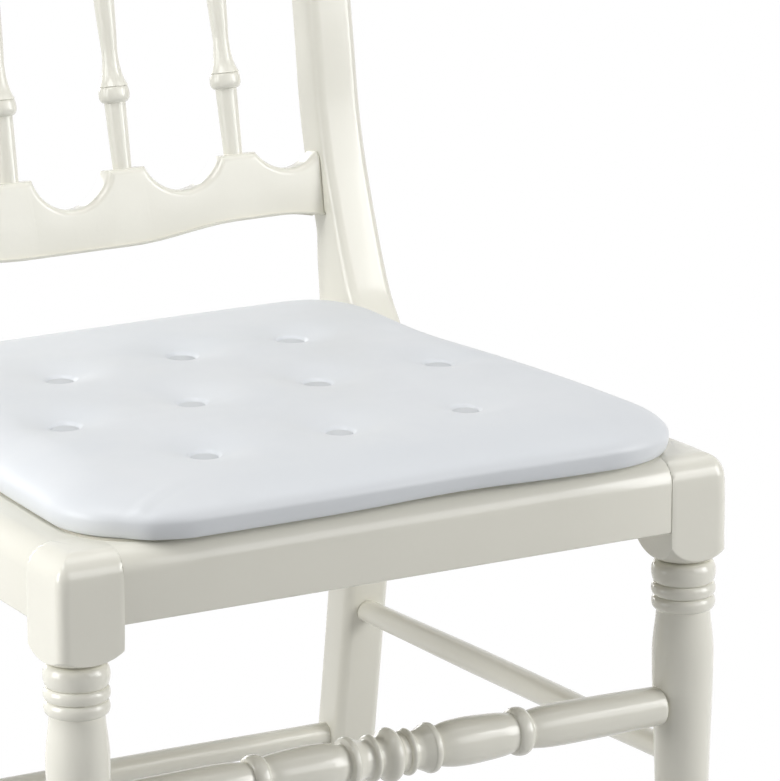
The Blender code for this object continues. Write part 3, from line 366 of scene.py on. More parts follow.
# %% Square top of a front leg
def square_radius(angle, reach, corner, small=0.0005):
    """Distance from the leg's axis to the rounded square at an angle (0 = outwards, 90 = forwards):
    the nearest of the four sides, or a corner's arc where the ray meets that. The reach and the
    corner belong to the two outer sides, the small arc to the other corners."""
    half = leg_square / 2
    ray_x, ray_y = np.cos(angle), np.sin(angle)
    radius = np.minimum(*(np.where(ray > 0, reach, half) / np.maximum(np.abs(ray), 1e-9)
                          for ray in (ray_x, ray_y)))
    for sign_x, sign_y in ((1, 1), (1, -1), (-1, 1), (-1, -1)):
        turn = corner if (sign_x, sign_y) == (1, 1) else small
        if turn <= 0:
            continue
        middle_x = sign_x * ((reach if sign_x > 0 else half) - turn)
        middle_y = sign_y * ((reach if sign_y > 0 else half) - turn)
        x, y = radius * ray_x, radius * ray_y
        inside = (x * sign_x > middle_x * sign_x) & (y * sign_y > middle_y * sign_y)
        along = ray_x * middle_x + ray_y * middle_y
        arc = along + np.sqrt(np.maximum(along ** 2 - middle_x ** 2 - middle_y ** 2 + turn ** 2, 0))
        radius = np.where(inside, np.minimum(radius, arc), radius)
    return radius


def soft_least(a, b, blend=0.0006):
    """The smaller of two numbers, with the corner between them rounded over a short length."""
    share = np.maximum(blend - np.abs(a - b), 0) / blend
    return np.minimum(a, b) - share ** 2 * blend / 4


print("square top of", 1000 * leg_square, "mm")

# %% Turning of a front leg
leg_beads = [(0.0598, 0.0720, 0.0139, 0.0151, 0.0173), (0.0720, 0.0792, 0.0151, 0.0151, 0.0173),
             (0.0792, 0.0868, 0.0151, 0.0145, 0.0171)]
swell_known = [0.0882, 0.0930, 0.1000, 0.1106, 0.1290, 0.1640, 0.2400, 0.3930]
swell_radii = [0.0145, 0.0149, 0.0158, 0.0166, 0.0163, 0.0151, 0.0131, 0.0098]
ankle_ring = (0.3934, 0.4020, 0.0098, 0.0098, 0.0128)
glide_height, foot_ease, foot_radius = 0.0053, 0.0012, 0.0108


def leg_turning():
    """Drops under the seat frame's top and radii of the turned part: three beads, the swelling
    taper, a ring at the ankle and the little pear foot."""
    floor = seat_top - glide_height
    taper = np.concatenate([np.linspace(0.0882, 0.135, 34), np.linspace(0.135, 0.393, 40)[1:]])
    foot = np.linspace(0.4020, floor - foot_ease, 22)
    pear = fair([0.4020, 0.4090, 0.4200, 0.4330, floor - foot_ease],
                [0.0098, 0.0106, 0.0124, 0.0117, foot_radius], foot)
    rim = np.linspace(0, math.pi / 2, 5)[1:]
    return joined(*(bead(*measures) for measures in leg_beads),
                  (taper, fair(swell_known, swell_radii, taper)), bead(*ankle_ring), (foot, pear),
                  (floor - foot_ease + foot_ease * np.sin(rim),
                   foot_radius - foot_ease * (1 - np.cos(rim))))


print("points along the turning:", len(leg_turning()[0]))

# %% Shoulder between them, and the whole leg
shoulder_drop, neck_drop, neck_radius, shoulder_power = 0.0455, 0.0592, 0.0121, 1.6
shoulder_reaches = {-1: 0.0292, 1: 0.0262}
corner_rounds = {-1: 0.0059, 1: 0.0086}
turning_shifts = {-1: -0.0002, 1: 0.0008}
top_round, block_swell = 0.0135, 0.0003
crease_steps = (-0.0011, -0.0007, -0.0004, -0.0002, 0.0, 0.0002, 0.0004, 0.0007, 0.0011)


def leg_grid(side):
    """Grid of a whole front leg, top face to foot. The shoulder is a flattened quarter ellipse:
    radius = neck + (reach - neck) * (1 - t^p)^(1/p), with t from 0 at its top to 1 at the neck. Rows
    follow the crease where it meets the square, so that it stays crisp, and columns include the
    square's corners. The turning lies a little to the side of the square's middle."""
    half, corner_round = leg_square / 2, corner_rounds[side]
    span, width = neck_drop - shoulder_drop, shoulder_reaches[side] - neck_radius
    power = shoulder_power

    def down(height):
        """Share of the way from the shoulder's top to the neck."""
        return np.clip((-height - shoulder_drop) / span, 0, 1)

    def shoulder(height):
        """Radius of the turned shoulder at a height."""
        return neck_radius + width * (1 - down(height) ** power) ** (1 / power)

    angle = np.linspace(0, 2 * math.pi, 120, endpoint=False) + math.radians(45)
    block = square_radius(angle, half, corner_round)
    share = np.minimum((block - neck_radius) / width, 1)
    crossing = -shoulder_drop - span * (1 - share ** power) ** (1 / power)
    lift = np.radians(np.linspace(90, 0, 14))
    runs = [(square_radius(angle, half - cut, max(corner_round - cut, 0.0)), -top_round * (1 - rise))
            for cut, rise in zip(top_round * (1 - np.cos(lift)), np.sin(lift))]
    for part in np.linspace(0.04, 0.94, 16):
        swell = block_swell * math.sin(math.pi * (0.15 + 0.85 * part))
        height = -top_round + (crossing + top_round) * part
        runs.append((square_radius(angle, half + swell, corner_round), height))
    runs += [(soft_least(block, shoulder(crossing - step)), crossing - step) for step in crease_steps]
    for part in np.sin(np.linspace(0.08, 1, 16) * math.pi / 2):
        height = crossing - crease_steps[-1] + (-neck_drop - crossing + crease_steps[-1]) * part
        runs.append((np.minimum(shoulder(height), block), height))
    runs += [(radius, -drop) for drop, radius in zip(*leg_turning())]
    radius, height = (np.array([np.broadcast_to(part, angle.shape) for part in parts])
                      for parts in zip(*runs))
    x = side * (leg_x + radius * np.cos(angle)) + turning_shifts[side] * down(height)
    y = front_face + half - radius * np.sin(angle)
    return np.stack([x, y, seat_top + height], axis=-1)


for side, word in both_sides:
    wooden(f"turned_{word}_leg", leg_grid(side), f"front_{word}_leg")

# %% [markdown]
# ## The seat rails
#
# The rails are plain bars with a large round on the outer top edge. Where a rail meets a leg the
# lacquer leaves a fine V instead of a crack, because both edges were eased before they were glued.
# A section ring is carried along the bar, and its last millimetre shrinks a little to make that V.


# %% Bars with eased ends
def section_ring(low, high, rounds, inset=0.0, steps=9):
    """Rounded rectangle as a closed ring of (across, up) points, anticlockwise from the lower left;
    rounds gives the four corner radii in that order, and inset shrinks it all round."""
    corners = ((low[0], low[1], 1, 1, 180), (high[0], low[1], -1, 1, 270),
               (high[0], high[1], -1, -1, 0), (low[0], high[1], 1, -1, 90))
    ring = []
    for (x, y, inward_x, inward_y, start), radius in zip(corners, rounds):
        turn = np.radians(start + np.linspace(0, 90, steps))
        middle, left = max(radius, inset), max(radius - inset, 0.0)
        ring.append(stacked(x + middle * inward_x + left * np.cos(turn),
                            y + middle * inward_y + left * np.sin(turn)))
    return np.concatenate(ring)


def bar_grid(start, end, low, high, rounds, to_world, ease=0.0004):
    """Grid of a straight bar: the section ring at each station, placed by a function. Both ends are
    rounded over: the section is drawn in by ease * (1 - sin) at start + ease * (1 - cos)."""
    turn = quarter(4)
    near, inset = start + ease * (1 - np.cos(turn)), ease * (1 - np.sin(turn))
    between = np.linspace(start + ease, end - ease, 6)[1:-1]
    places = np.concatenate([near, between, (start + end - near)[::-1]])
    insets = np.concatenate([inset, np.zeros(len(between)), inset[::-1]])
    return np.stack([to_world(place, section_ring(low, high, rounds, drawn))
                     for place, drawn in zip(places, insets)])


print("helpers ready: section_ring, bar_grid")

# %% Front and rear rail
rail_height, rail_thickness, rail_step, glue_bite = 0.0390, 0.030, 0.0004, 0.0002
eased, rear_eased = 0.0015, 0.006


def across_chair(x, ring):
    """Section in the plane of Y and Z, for a bar that runs along X."""
    return chair_points(x, ring[:, 0], ring[:, 1])


rear_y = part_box("rear_seat_rail")[0].y - front_face
for word, half, near, rounds in (
        ("front", front_width / 2 - leg_square + glue_bite, rail_step, (eased, eased, eased, top_round)),
        ("rear", inner_post + glue_bite, rear_y, (eased, eased, rear_eased, eased))):
    grid = bar_grid(-half, half, (near, -rail_height), (near + rail_thickness, 0.0), rounds,
                    across_chair)
    wooden(f"moulded_{word}_rail", grid, f"{word}_seat_rail")

# %% [markdown]
# The side rails taper the seat towards the back. Their ends stay parallel to the legs, so each one
# is a straight bar pushed over sideways: x grows in proportion to y.


# %% Side rails
def along_chair(side):
    """Places sections in the plane of X and Z, pushed sideways as the bar runs back."""
    return lambda y, ring: chair_points(side * (ring[:, 0] + side_slope * (y - leg_square)), y,
                                        ring[:, 1])


outer = front_width / 2 - rail_step
for side, word in both_sides:
    grid = bar_grid(leg_square - glue_bite, seat_depth + glue_bite,
                    (outer - rail_thickness, -rail_height), (outer, 0.0),
                    (eased, eased, top_round, eased), along_chair(side))
    wooden(f"moulded_{word}_rail", grid, f"{word}_seat_rail")

# %% [markdown]
# ## The rear posts
#
# Each rear post is one plank, sawn to a sabre curve that runs from the floor to the crest rail and
# is deepest where the side rail meets it. Front and back edges are two fair curves over the height;
# between them a section with round corners is carried up the post.

# %% Posts
post_heights = [-0.330, -0.245, -0.160, -0.110, -0.065, -0.042, -0.030, 0.0, 0.0040, 0.0116, 0.0193,
                0.0354, 0.0517, 0.0763, 0.0927, 0.1094, 0.1264, 0.1605, 0.230, 0.300, 0.350]
post_setbacks = [0.0457, 0.0312, 0.0182, 0.0108, 0.0045, 0.0010, 0.0, 0.0, 0.0020, 0.0077, 0.0127,
                 0.0202, 0.0266, 0.0355, 0.0409, 0.0453, 0.0487, 0.0536, 0.0653, 0.0805, 0.0935]
post_depths = [0.0262, 0.0266, 0.0270, 0.0325, 0.0442, 0.0507, 0.0520, 0.0533, 0.0514, 0.0460, 0.0418,
               0.0358, 0.0304, 0.0292, 0.0291, 0.0287, 0.0284, 0.0277, 0.0270, 0.0262, 0.0250]
foot_setback, foot_depth, top_depth, post_round, post_ease = 0.0655, 0.0250, 0.0235, 0.006, 0.001
back_rake = math.radians(11.8)
back_y, back_z = seat_depth + 0.057, 0.1003
spindle_length = 0.302


def back_point(x, y, up):
    """From the leaning back's own measures (across, through, up) to the chair's: turned about X by
    the rake, then moved to where the lower rail's pads lie."""
    return chair_points(x, back_y + y * math.cos(back_rake) + up * math.sin(back_rake),
                        back_z - y * math.sin(back_rake) + up * math.cos(back_rake))


def post_edges():
    """(y, z) of the front and of the back edge, foot to top: fair curves, then straight lines to the
    points under the crest."""
    floor = glide_height - seat_top
    known = [floor] + post_heights
    z = np.concatenate([np.linspace(floor, -0.12, 40), np.linspace(-0.12, 0.13, 90)[1:],
                        np.linspace(0.13, 0.350, 18)[1:]])
    front = seat_depth + fair(known, [foot_setback] + post_setbacks, z)
    back = front + fair(known, [foot_depth] + post_depths, z)
    top = back_point(0.0, np.array([-top_depth / 2, top_depth / 2]), spindle_length - 0.0003)
    tops = top[:, 1:] - np.array([front_face, seat_top])
    share = np.linspace(0, 1, 12)[1:, None]
    return [np.concatenate([stacked(y, z), (1 - share) * [y[-1], z[-1]] + share * end])
            for y, end in zip((front, back), tops)]


for side, word in both_sides:
    rings = []
    for near, far in zip(*post_edges()):
        depth = np.linalg.norm(far - near)
        ring = section_ring((-post_width / 2, 0.0), (post_width / 2, depth), (post_round,) * 4,
                            0.0 if rings else post_ease, 10)
        line = near + (ring[:, 1:] / depth) * (far - near)
        rings.append(chair_points(side * post_x + ring[:, 0], line[:, 0], line[:, 1]))
    rings.insert(1, rings[1] + np.array([0.0, 0.0, post_ease]))
    wooden(f"sawn_{word}_post", np.array(rings), f"rear_{word}_post")

# %% [markdown]
# ## The lower rail of the back
#
# Its top edge steps up to a flat pad under each spindle and dips in a round scallop between them.
# The front of that edge is rounded, and because the cutter follows the outline, the rounding meets
# itself in a mitre at every corner. To draw the mitre exactly, the outline is worked out again at
# each depth of the cut: a scallop's circle grows by the inset, the pad's line drops by it, and the
# two are cut at their new meeting point.

# %% Scalloped outlines
spindle_pitch = 0.071
pads = np.array([0.5, 1.5]) * spindle_pitch
pad_half, scallop_depths = 0.0114, (0.0190, 0.0160, 0.0100)


def scallop_edge(inset, end, drop=0.0, steps=20):
    """Top edge of the right half at an inset, from the middle to the end: arcs of radius r + inset
    about fixed centres, cut at the level of the pads, and straight pads between them. An arc with a
    chord c and a depth d has r = (c^2 / 4 + d^2) / (2 d). The last arc falls by the drop towards the
    end, where its points also lie closer."""
    starts = (-(pads[0] - pad_half), pads[0] + pad_half, pads[1] + pad_half)
    stops = (pads[0] - pad_half, pads[1] - pad_half, end)
    arcs = []
    for start, stop, depth in zip(starts, stops, scallop_depths):
        radius = (((stop - start) / 2) ** 2 + depth ** 2) / (2 * depth)
        centre = radius - depth
        reach = math.sqrt((radius + inset) ** 2 - (centre + inset) ** 2)
        arcs.append(((start + stop) / 2, centre, radius + inset, reach))
    runs, share, fall = [], np.linspace(0, 1, steps), 0.0
    for number, (middle, centre, radius, reach) in enumerate(arcs):
        left, right = middle - reach if number else 0.0, middle + reach
        if number == 2:
            right = end
            share = np.concatenate([np.linspace(0, 0.88, steps)[:-1],
                                    1 - 0.12 * (1 - np.sin(share * math.pi / 2))])
            fall = drop * share
        first = math.asin((left - middle) / radius)
        last = math.asin(min((right - middle) / radius, 1.0))
        angle = first + (last - first) * share
        runs.append(stacked(middle + radius * np.sin(angle), centre - radius * np.cos(angle) - fall))
        if number < 2:
            x = np.linspace(middle + reach, arcs[number + 1][0] - arcs[number + 1][3], 8)[1:-1]
            runs.append(stacked(x, -inset))
    return np.concatenate(runs)


def both_halves(right):
    """Left half, mirrored, then the right half."""
    return np.concatenate([right[:0:-1] * np.array([-1.0, 1.0]), right])


def plate_grid(top_at, bottom_at, half_thickness, rounds, reach=None, end_round=0.0):
    """Grid of a moulded plate. Round its section run the front edge's rounding, the top, the back
    edge's rounding, and the same below; each ring point is an outline point at the right inset. Over
    the last end_round before the reach the section draws in along a quarter circle."""
    front_round, back_round, low_round = rounds
    rows = []
    for edge_at, up, radius, way in ((top_at, -1, front_round, -1), (top_at, -1, back_round, 1),
                                     (bottom_at, 1, low_round, 1), (bottom_at, 1, 1.6 * low_round, -1)):
        for a in quarter(10)[::-way]:
            edge, cut, drawn = edge_at(radius * (1 - math.sin(a))), radius * (1 - math.cos(a)), 0.0
            if reach:
                near = np.clip((np.abs(edge[:, 0]) - (reach - end_round)) / end_round, 0, 0.97)
                drawn = end_round * (1 - np.sqrt(1 - near ** 2))
            rows.append(back_point(edge[:, 0], way * (half_thickness - cut - drawn),
                                   edge[:, 1] + up * drawn))
    return np.array(rows).transpose(1, 0, 2)


print("scallops", [1000 * depth for depth in scallop_depths], "mm deep")

# %% Lower rail
lower_depth, lower_rise, lower_end_drop, lower_thickness = 0.0437, 0.0060, 0.0036, 0.016
end_drop = 0.003
level_half, rise_length, drop_start = 0.033, 0.070, 0.128


def lower_top(inset):
    """Top edge of the lower rail: both halves of the scallops."""
    return both_halves(scallop_edge(inset, inner_post + glue_bite, end_drop))


def lower_bottom(inset):
    """Underside: level in the middle, a half cosine up to a higher level, and a parabola down again
    at the very end, all lifted by the inset."""
    x = lower_top(0.0)[:, 0]
    away = np.abs(x)
    rise = lower_rise / 2 * (1 - np.cos(math.pi * np.clip((away - level_half) / rise_length, 0, 1)))
    drop = lower_end_drop * (np.clip(away - drop_start, 0, None) / (inner_post - drop_start)) ** 2
    return stacked(x, rise - drop - lower_depth + inset)


grid = plate_grid(lower_top, lower_bottom, lower_thickness / 2, (0.0042, 0.0025, 0.0010),
                  inner_post + glue_bite, 0.0016)
wooden("scalloped_lower_rail", grid, "lower_back_rail")

# %% [markdown]
# ## The crest rail
#
# The crest lies outside the photograph. It follows the usual pattern of such chairs: the scallops
# of the lower rail turned upside down, a low rise in the middle and a soft ear over each post.

# %% Crest
crest_reach = post_x + post_width / 2 + 0.0055
landing = crest_reach - 0.034
crest_thickness, crest_end_round = 0.0225, 0.006
crest_shares = [0, 0.30, 0.56, 0.78, 0.90, 0.965, 1.0]
crest_heights = [0.060, 0.058, 0.050, 0.054, 0.050, 0.042, 0.028]


def crest_under(inset):
    """Underside of the crest: the scallops mirrored upwards, a flat over the post, a round end."""
    turn = np.radians(np.linspace(-90, 0, 10))
    inner, radius = crest_reach - crest_end_round, crest_end_round - inset
    flat = np.linspace(landing, inner, 6)[1:-1]
    rounded = stacked(inner + radius * np.cos(turn), -crest_end_round - radius * np.sin(turn))
    run = np.concatenate([scallop_edge(inset, landing), stacked(flat, -inset), rounded])
    return both_halves(run * np.array([1.0, -1.0]) + np.array([0.0, spindle_length]))


def crest_top(inset):
    """Top of the crest over the same columns: a fair curve over the width, shrunk by the inset."""
    count = len(crest_under(0.0)) // 2 + 1
    close = 0.88 + 0.12 * np.sin(np.linspace(0, math.pi / 2, 23))[1:]
    even = np.concatenate([np.linspace(0, 0.88, count - 22), close])
    height = spindle_length + fair(crest_shares, crest_heights, even) - inset
    return both_halves(stacked(even * (crest_reach - inset), height))


grid = plate_grid(crest_top, crest_under, crest_thickness / 2, (0.0045, 0.0030, 0.0030))
wooden("shaped_crest", grid, "crest_rail")

# %% [markdown]
# ## Spindles and stretchers
#
# These are lathe work again. The spindles lean with the back, so their axis is the back's own up
# direction; the stretchers run across and along the chair.

# %% Spindles
collar = 0.0438
collar_low, collar_high, waist_end = collar - 0.0066, collar + 0.0025, collar + 0.033
waist_known = [0.0025, 0.0028, 0.0034, 0.0050, 0.0077, 0.0128, 0.0185, 0.0215, 0.0260, 0.0330]
spindle_radii = [0.0079, 0.0084, 0.0081, 0.0073, 0.0063, 0.0052, 0.0046, 0.0045, 0.0047, 0.0051,
                 0.0061, 0.0067]


def spindle_run():
    """Places and radii of a spindle, the same from both ends: a swelling foot, a collar, a thin
    waist and a slow belly in the middle."""
    foot = np.linspace(-0.001, collar_low, 16)
    shaft = fair([-0.001, 0.02, collar_low], [0.0053, 0.0058, 0.0061], foot)
    ball = bead(collar_low, collar_high, 0.0060, 0.0077, 0.0088, 30)
    known = np.concatenate([np.array(waist_known) + collar, [0.106, spindle_length / 2]])
    rest = np.concatenate([collar_high + 0.0015 * np.linspace(0, 1, 14) ** 1.5,
                           np.linspace(collar + 0.004, waist_end, 40)[1:],
                           np.linspace(waist_end, spindle_length / 2, 24)[1:]])
    along, radius = joined((foot, shaft), ball, (rest, fair(known, spindle_radii, rest)))
    return joined((along, radius), ((spindle_length - along)[-2::-1], radius[-2::-1]))


along, radii = spindle_run()
up = np.array([0.0, math.sin(back_rake), math.cos(back_rake)])
for number in range(4):
    foot = back_point((number - 1.5) * spindle_pitch, 0.0, 0.0)
    wooden(f"turned_spindle_{number + 1}", turned(along, radii, foot, up, (1, 0, 0), 48),
           f"back_spindle_{number + 1}")


# %% [markdown]
# The front stretcher is the show piece: a middle bead between two thin discs, a barrel to each side
# and a ring where the barrel ends. Its profile is written for one half and mirrored.

# %% Front stretcher
def front_stretcher_run():
    """Places and radii of the right half, from the middle outwards, then of both halves."""
    share, wave = np.linspace(0, 1, 10), np.linspace(0, math.pi, 12)[1:]
    barrel = np.linspace(0.0290, 0.0735, 34)
    barrel_radii = fair([0.0290, 0.0340, 0.0400, 0.0470, 0.0600, 0.0680, 0.0735],
                        [0.0104, 0.0117, 0.0125, 0.0128, 0.0123, 0.0117, 0.0108], barrel)
    plain = np.linspace(0.0875, 0.1664, 30)
    plain_radii = fair([0.0875, 0.0950, 0.1050, 0.1400, 0.1664],
                       [0.0104, 0.0112, 0.0115, 0.0111, 0.0105], plain)
    turn = quarter(6)[1:]
    half = joined(
        (np.linspace(0, 0.0045, 10), 0.0146 - 0.0030 * (share ** 2.2)),
        ([0.0058, 0.0072, 0.0084], [0.0104, 0.0101, 0.0104]),
        bead(0.0088, 0.0128, 0.0104, 0.0104, 0.0126, 12),
        ([0.0134, 0.0150, 0.0168], [0.0100, 0.0100, 0.0103]),
        (np.linspace(0.0175, 0.0228, 8), np.linspace(0.0105, 0.0130, 8)),
        (0.0228 + 0.0034 * (1 - np.cos(wave)) / 2, 0.0130 + 0.0005 * np.sin(wave)),
        ([0.0266, 0.0272, 0.0282], [0.0112, 0.0101, 0.0101]),
        (barrel, barrel_radii),
        bead(0.0748, 0.0840, 0.0108, 0.0100, 0.0131, 20),
        ([0.0850, 0.0862], [0.0098, 0.0101]),
        (plain, plain_radii),
        (0.1664 + 0.0012 * np.sin(turn), 0.0105 - 0.0012 * (1 - np.cos(turn))),
        ([0.1677, leg_x - 0.006], [0.0070, 0.0070]))
    return both_halves(stacked(*half)).T


along, radii = front_stretcher_run()
grid = turned(along, radii, (0, front_face + leg_square / 2, seat_top - 0.1396), (1, 0, 0), (0, 0, 1))
wooden("turned_front_stretcher", grid, "front_stretcher", 50)


# %% Plain stretchers
def plain_stretcher(name, start, axis, length, replaced, ends=0.0066, middle=0.0075):
    """A round bar whose radius swells a little from the ends to the middle, on a cosine."""
    along = np.linspace(0, length, 50)
    share = np.clip((0.5 - np.abs(along / length - 0.5)) / 0.42, 0, 1)
    radii = ends + (middle - ends) * (1 - np.cos(math.pi * share)) / 2
    wooden(name, turned(along, radii, start, axis, (0, 0, 1), 40), replaced)


side_drop, tenon, rear_reach = 0.170, 0.006, 0.0125
for side, word in both_sides:
    start = chair_points(side * leg_x, leg_square / 2, -side_drop)
    run = chair_points(side * post_x, seat_depth + rear_reach, -side_drop) - start
    axis = run / np.linalg.norm(run)
    plain_stretcher(f"round_{word}_stretcher", start + axis * tenon, axis,
                    np.linalg.norm(run - axis * tenon) + 0.008, f"{word}_side_stretcher")

low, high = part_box("rear_stretcher")
middle = (low + high) / 2
plain_stretcher("round_rear_stretcher", (-inner_post - tenon, middle.y, middle.z), (1, 0, 0),
                2 * inner_post + 2 * tenon, "rear_stretcher")


# %% [markdown]
# ## The seat board
#
# A thin board lies in a rebate of the frame and shows as a pale sliver past the cushion's round
# corners. Its edge is eased by hand, so the outline is carried up through a small rounding. Its colour
# is a dull dark olive, painted shade for the shadow that the cushion casts along its edge.

# %% Tapered outline with round corners
def outline(front, rear, front_half, rear_half, front_round, rear_round, steps=160):
    """Closed outline, anticlockwise from the middle of the front: straight sides that run in towards
    the back, and arcs that touch them at the corners."""
    slope = (rear_half - front_half) / (rear - front)
    lean = math.atan(slope)

    def corner(y_edge, radius, toward):
        """Arc that touches the front or the rear and the right side."""
        centre_y = y_edge + toward * radius
        centre_x = front_half + slope * (centre_y - front) - radius / math.cos(lean)
        first, last = (-90, -math.degrees(lean)) if toward > 0 else (-math.degrees(lean), 90)
        angle = np.radians(np.linspace(first, last, 60))
        return stacked(centre_x + radius * np.cos(angle), centre_y + radius * np.sin(angle))

    right = np.concatenate([[(0.0, front)], corner(front, front_round, 1), corner(rear, rear_round, -1),
                            [(0.0, rear)]])
    whole = np.concatenate([right, right[-2:0:-1] * np.array([-1.0, 1.0]), right[:1]])
    length = np.concatenate([[0], np.cumsum(np.linalg.norm(np.diff(whole, axis=0), axis=1))])
    even = np.linspace(0, length[-1], steps, endpoint=False)
    return stacked(*(np.interp(even, length, place) for place in whole.T))


print("points round the usual outline:", len(outline(0.0, 0.3, 0.2, 0.18, 0.05, 0.05)))

# %% Board
low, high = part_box("seat_panel")
board_front, board_measures, board_ease = 0.010, np.array([0.352, 0.1742, 0.155, 0.038, 0.012]), 0.0012
levels = [(board_ease * (1 - math.sin(a)), low.z + board_ease * (1 - math.cos(a))) for a in quarter(6)]
levels += [(board_ease * (1 - math.sin(a)), high.z - board_ease * (1 - math.cos(a)))
           for a in quarter(6)[::-1]]
rings = []
for inset, height in levels:
    x, y = outline(board_front + inset, *(board_measures - inset), 240).T
    rings.append(stacked(x, front_face + y, height))
board_mesh = ring_mesh("eased_seat_board", np.array(rings))
add_piece(board_mesh, "frame", seat_board_painted_shade, "seat_panel")

# %% [markdown]
# ## The cushion
#
# The cushion is a firm foam pad in a white vinyl cover. No two sides of it are alike: the left front
# corner is rounder than the right, the front edge is drawn in a little right of the middle, and the
# right side has a soft dent near the back. Its edge is one wide roll, with a few creases in the left
# front corner, where the cover is folded in. Its top is slightly crowned, and ten buttons pull it
# down into steep little wells. Close to the edge the rings of points are parallel to the outline;
# further in they shrink towards the middle.

# %% Cushion outline
cushion_front, cushion_rear, front_half, rear_half = -0.0030, 0.345, 0.1830, 0.161
cushion_low, cushion_mid, under_round, base_top = 0.0009, 0.0098, 0.0045, 0.0076
roll_width, roll_height, crown = 0.032, 0.0143, 0.0036
corner_x, corner_y, corner_width = 0.166, 0.013, 0.028


def bell(distance, width):
    """A smooth bump of height 1: exp(-(distance / width) ** 2)."""
    return np.exp(-(distance / width) ** 2)


def cushion_edge(columns):
    """Closed outline in plan: the tapered outline, moved by smooth bumps. Each one is an amount times
    a bell: the front's draw, a lean to the right, the dent, the two front corners, the waist."""
    edge = outline(cushion_front, cushion_rear, front_half, rear_half, 0.057, 0.050, columns)
    x, y = edge[:, 0], edge[:, 1]
    back = 0.0014 * bell(y - cushion_front, 0.030) * bell(x - 0.034, 0.045)
    over = 0.0030 * np.clip(1 - (y - cushion_front) / 0.30, 0, 1)
    over = over - 0.0030 * (x > 0) * bell(y - 0.245, 0.06)
    left, right = (bell(np.hypot(x - side * corner_x, y - corner_y), corner_width) for side in (-1, 1))
    waist = 0.0014 * np.sign(x) * bell(np.abs(x) - 0.174, 0.02) * bell(y - 0.172, 0.09)
    return edge + stacked(over + 0.0020 * (left + right) - waist, back + 0.0020 * (left - right))


print("cushion edge reaches x =", cushion_edge(460)[:, 0].max().round(4), "m")

# %% Folds of the left front corner
edge_folds = ((-0.167, 0.0003), (-0.156, -0.0003), (-0.146, 0.0006), (-0.135, -0.0003))
top_folds = ((-0.200, 0.0005), (-0.187, -0.0008), (-0.174, 0.0012), (-0.161, -0.0008))


def folds(along, table, width):
    """Ridges and hollows side by side: a bell of each height at its place."""
    return sum(height * bell(along - place, width) for place, height in table)


def corner_folds(edge, distance):
    """How far the folds stand out of the edge, at a distance in from it: they die away over a
    centimetre."""
    ridges = folds(edge[:, 0], edge_folds, 0.0050)
    return (ridges * (edge[:, 1] < 0.05) * bell(distance, 0.010))[:, None]


print("folds on the edge:", len(edge_folds), "and on top:", len(top_folds))

# %% Top of the cushion
buttons = np.array([(-0.0795, 0.0690), (0.0034, 0.0735), (0.0826, 0.0779), (-0.1167, 0.1530),
                    (-0.0363, 0.1620), (0.0415, 0.1641), (0.1182, 0.1664), (-0.0743, 0.2400),
                    (0.0058, 0.2509), (0.0748, 0.2516)])
dent_y = 0.245


def from_buttons(x, y):
    """Distance in plan from each point to each button."""
    return np.hypot(x[..., None] - buttons[:, 0], y[..., None] - buttons[:, 1])


def dimple(x, y):
    """How far the buttons pull the top down: a wide bell and a narrow well at each of them."""
    away = from_buttons(x, y)
    return (0.0056 * bell(away, 0.0180) + 0.0018 * np.exp(-(away / 0.0082) ** 10)).sum(axis=-1)


def cushion_top(x, y, inward):
    """Height over the seat frame's top: the roll, a quarter ellipse over the first centimetres from
    the edge, then a slow crown, less the dimples, less the dents on the right and the fall towards
    the front, plus slow waves and the slanting folds of the left front corner."""
    roll = roll_height * np.sqrt(np.maximum(1 - np.clip(1 - inward / roll_width, 0, 1) ** 2, 0))
    u, v = x / 0.185, (y - 0.170) / 0.173
    rise = crown * np.maximum(1 - u ** 4, 0) * np.maximum(1 - v ** 4, 0)
    wave = 0.0005 * np.sin(x * 61 + 1.3) * np.sin(y * 47 + 0.4)
    dent = 0.0050 * bell(y - dent_y, 0.060) * bell(x - 0.170, 0.035)
    dent = dent + 0.0015 * bell(y - 0.05, 0.09) * bell(x - 0.185, 0.03)
    lift = 0.0014 * bell(y - cushion_rear, 0.05) * (1 - bell(x - 0.2, 0.1))
    slanting = folds(x - 2.1 * y, top_folds, 0.0065) * bell(y - 0.010, 0.010)
    slanting = slanting * np.clip(inward / 0.004, 0, 1)
    front_fall = 0.0026 * bell(y, 0.045)
    fade = np.clip(inward / roll_width, 0, 1)
    return (cushion_mid + roll + (rise + wave - dimple(x, y)) * fade
            + (lift - dent - front_fall) * np.sqrt(fade) + slanting)


print("buttons:", len(buttons))

# %% Rings of the cushion
def inward_normal(ring):
    """Unit normals that point into a closed, anticlockwise ring, averaged over a few neighbours."""
    along = np.roll(ring, -1, axis=0) - np.roll(ring, 1, axis=0)
    normal = stacked(-along[:, 1], along[:, 0])
    for _ in range(6):
        normal = (np.roll(normal, 1, axis=0) + 2 * normal + np.roll(normal, -1, axis=0)) / 4
    return normal / np.linalg.norm(normal, axis=1, keepdims=True)


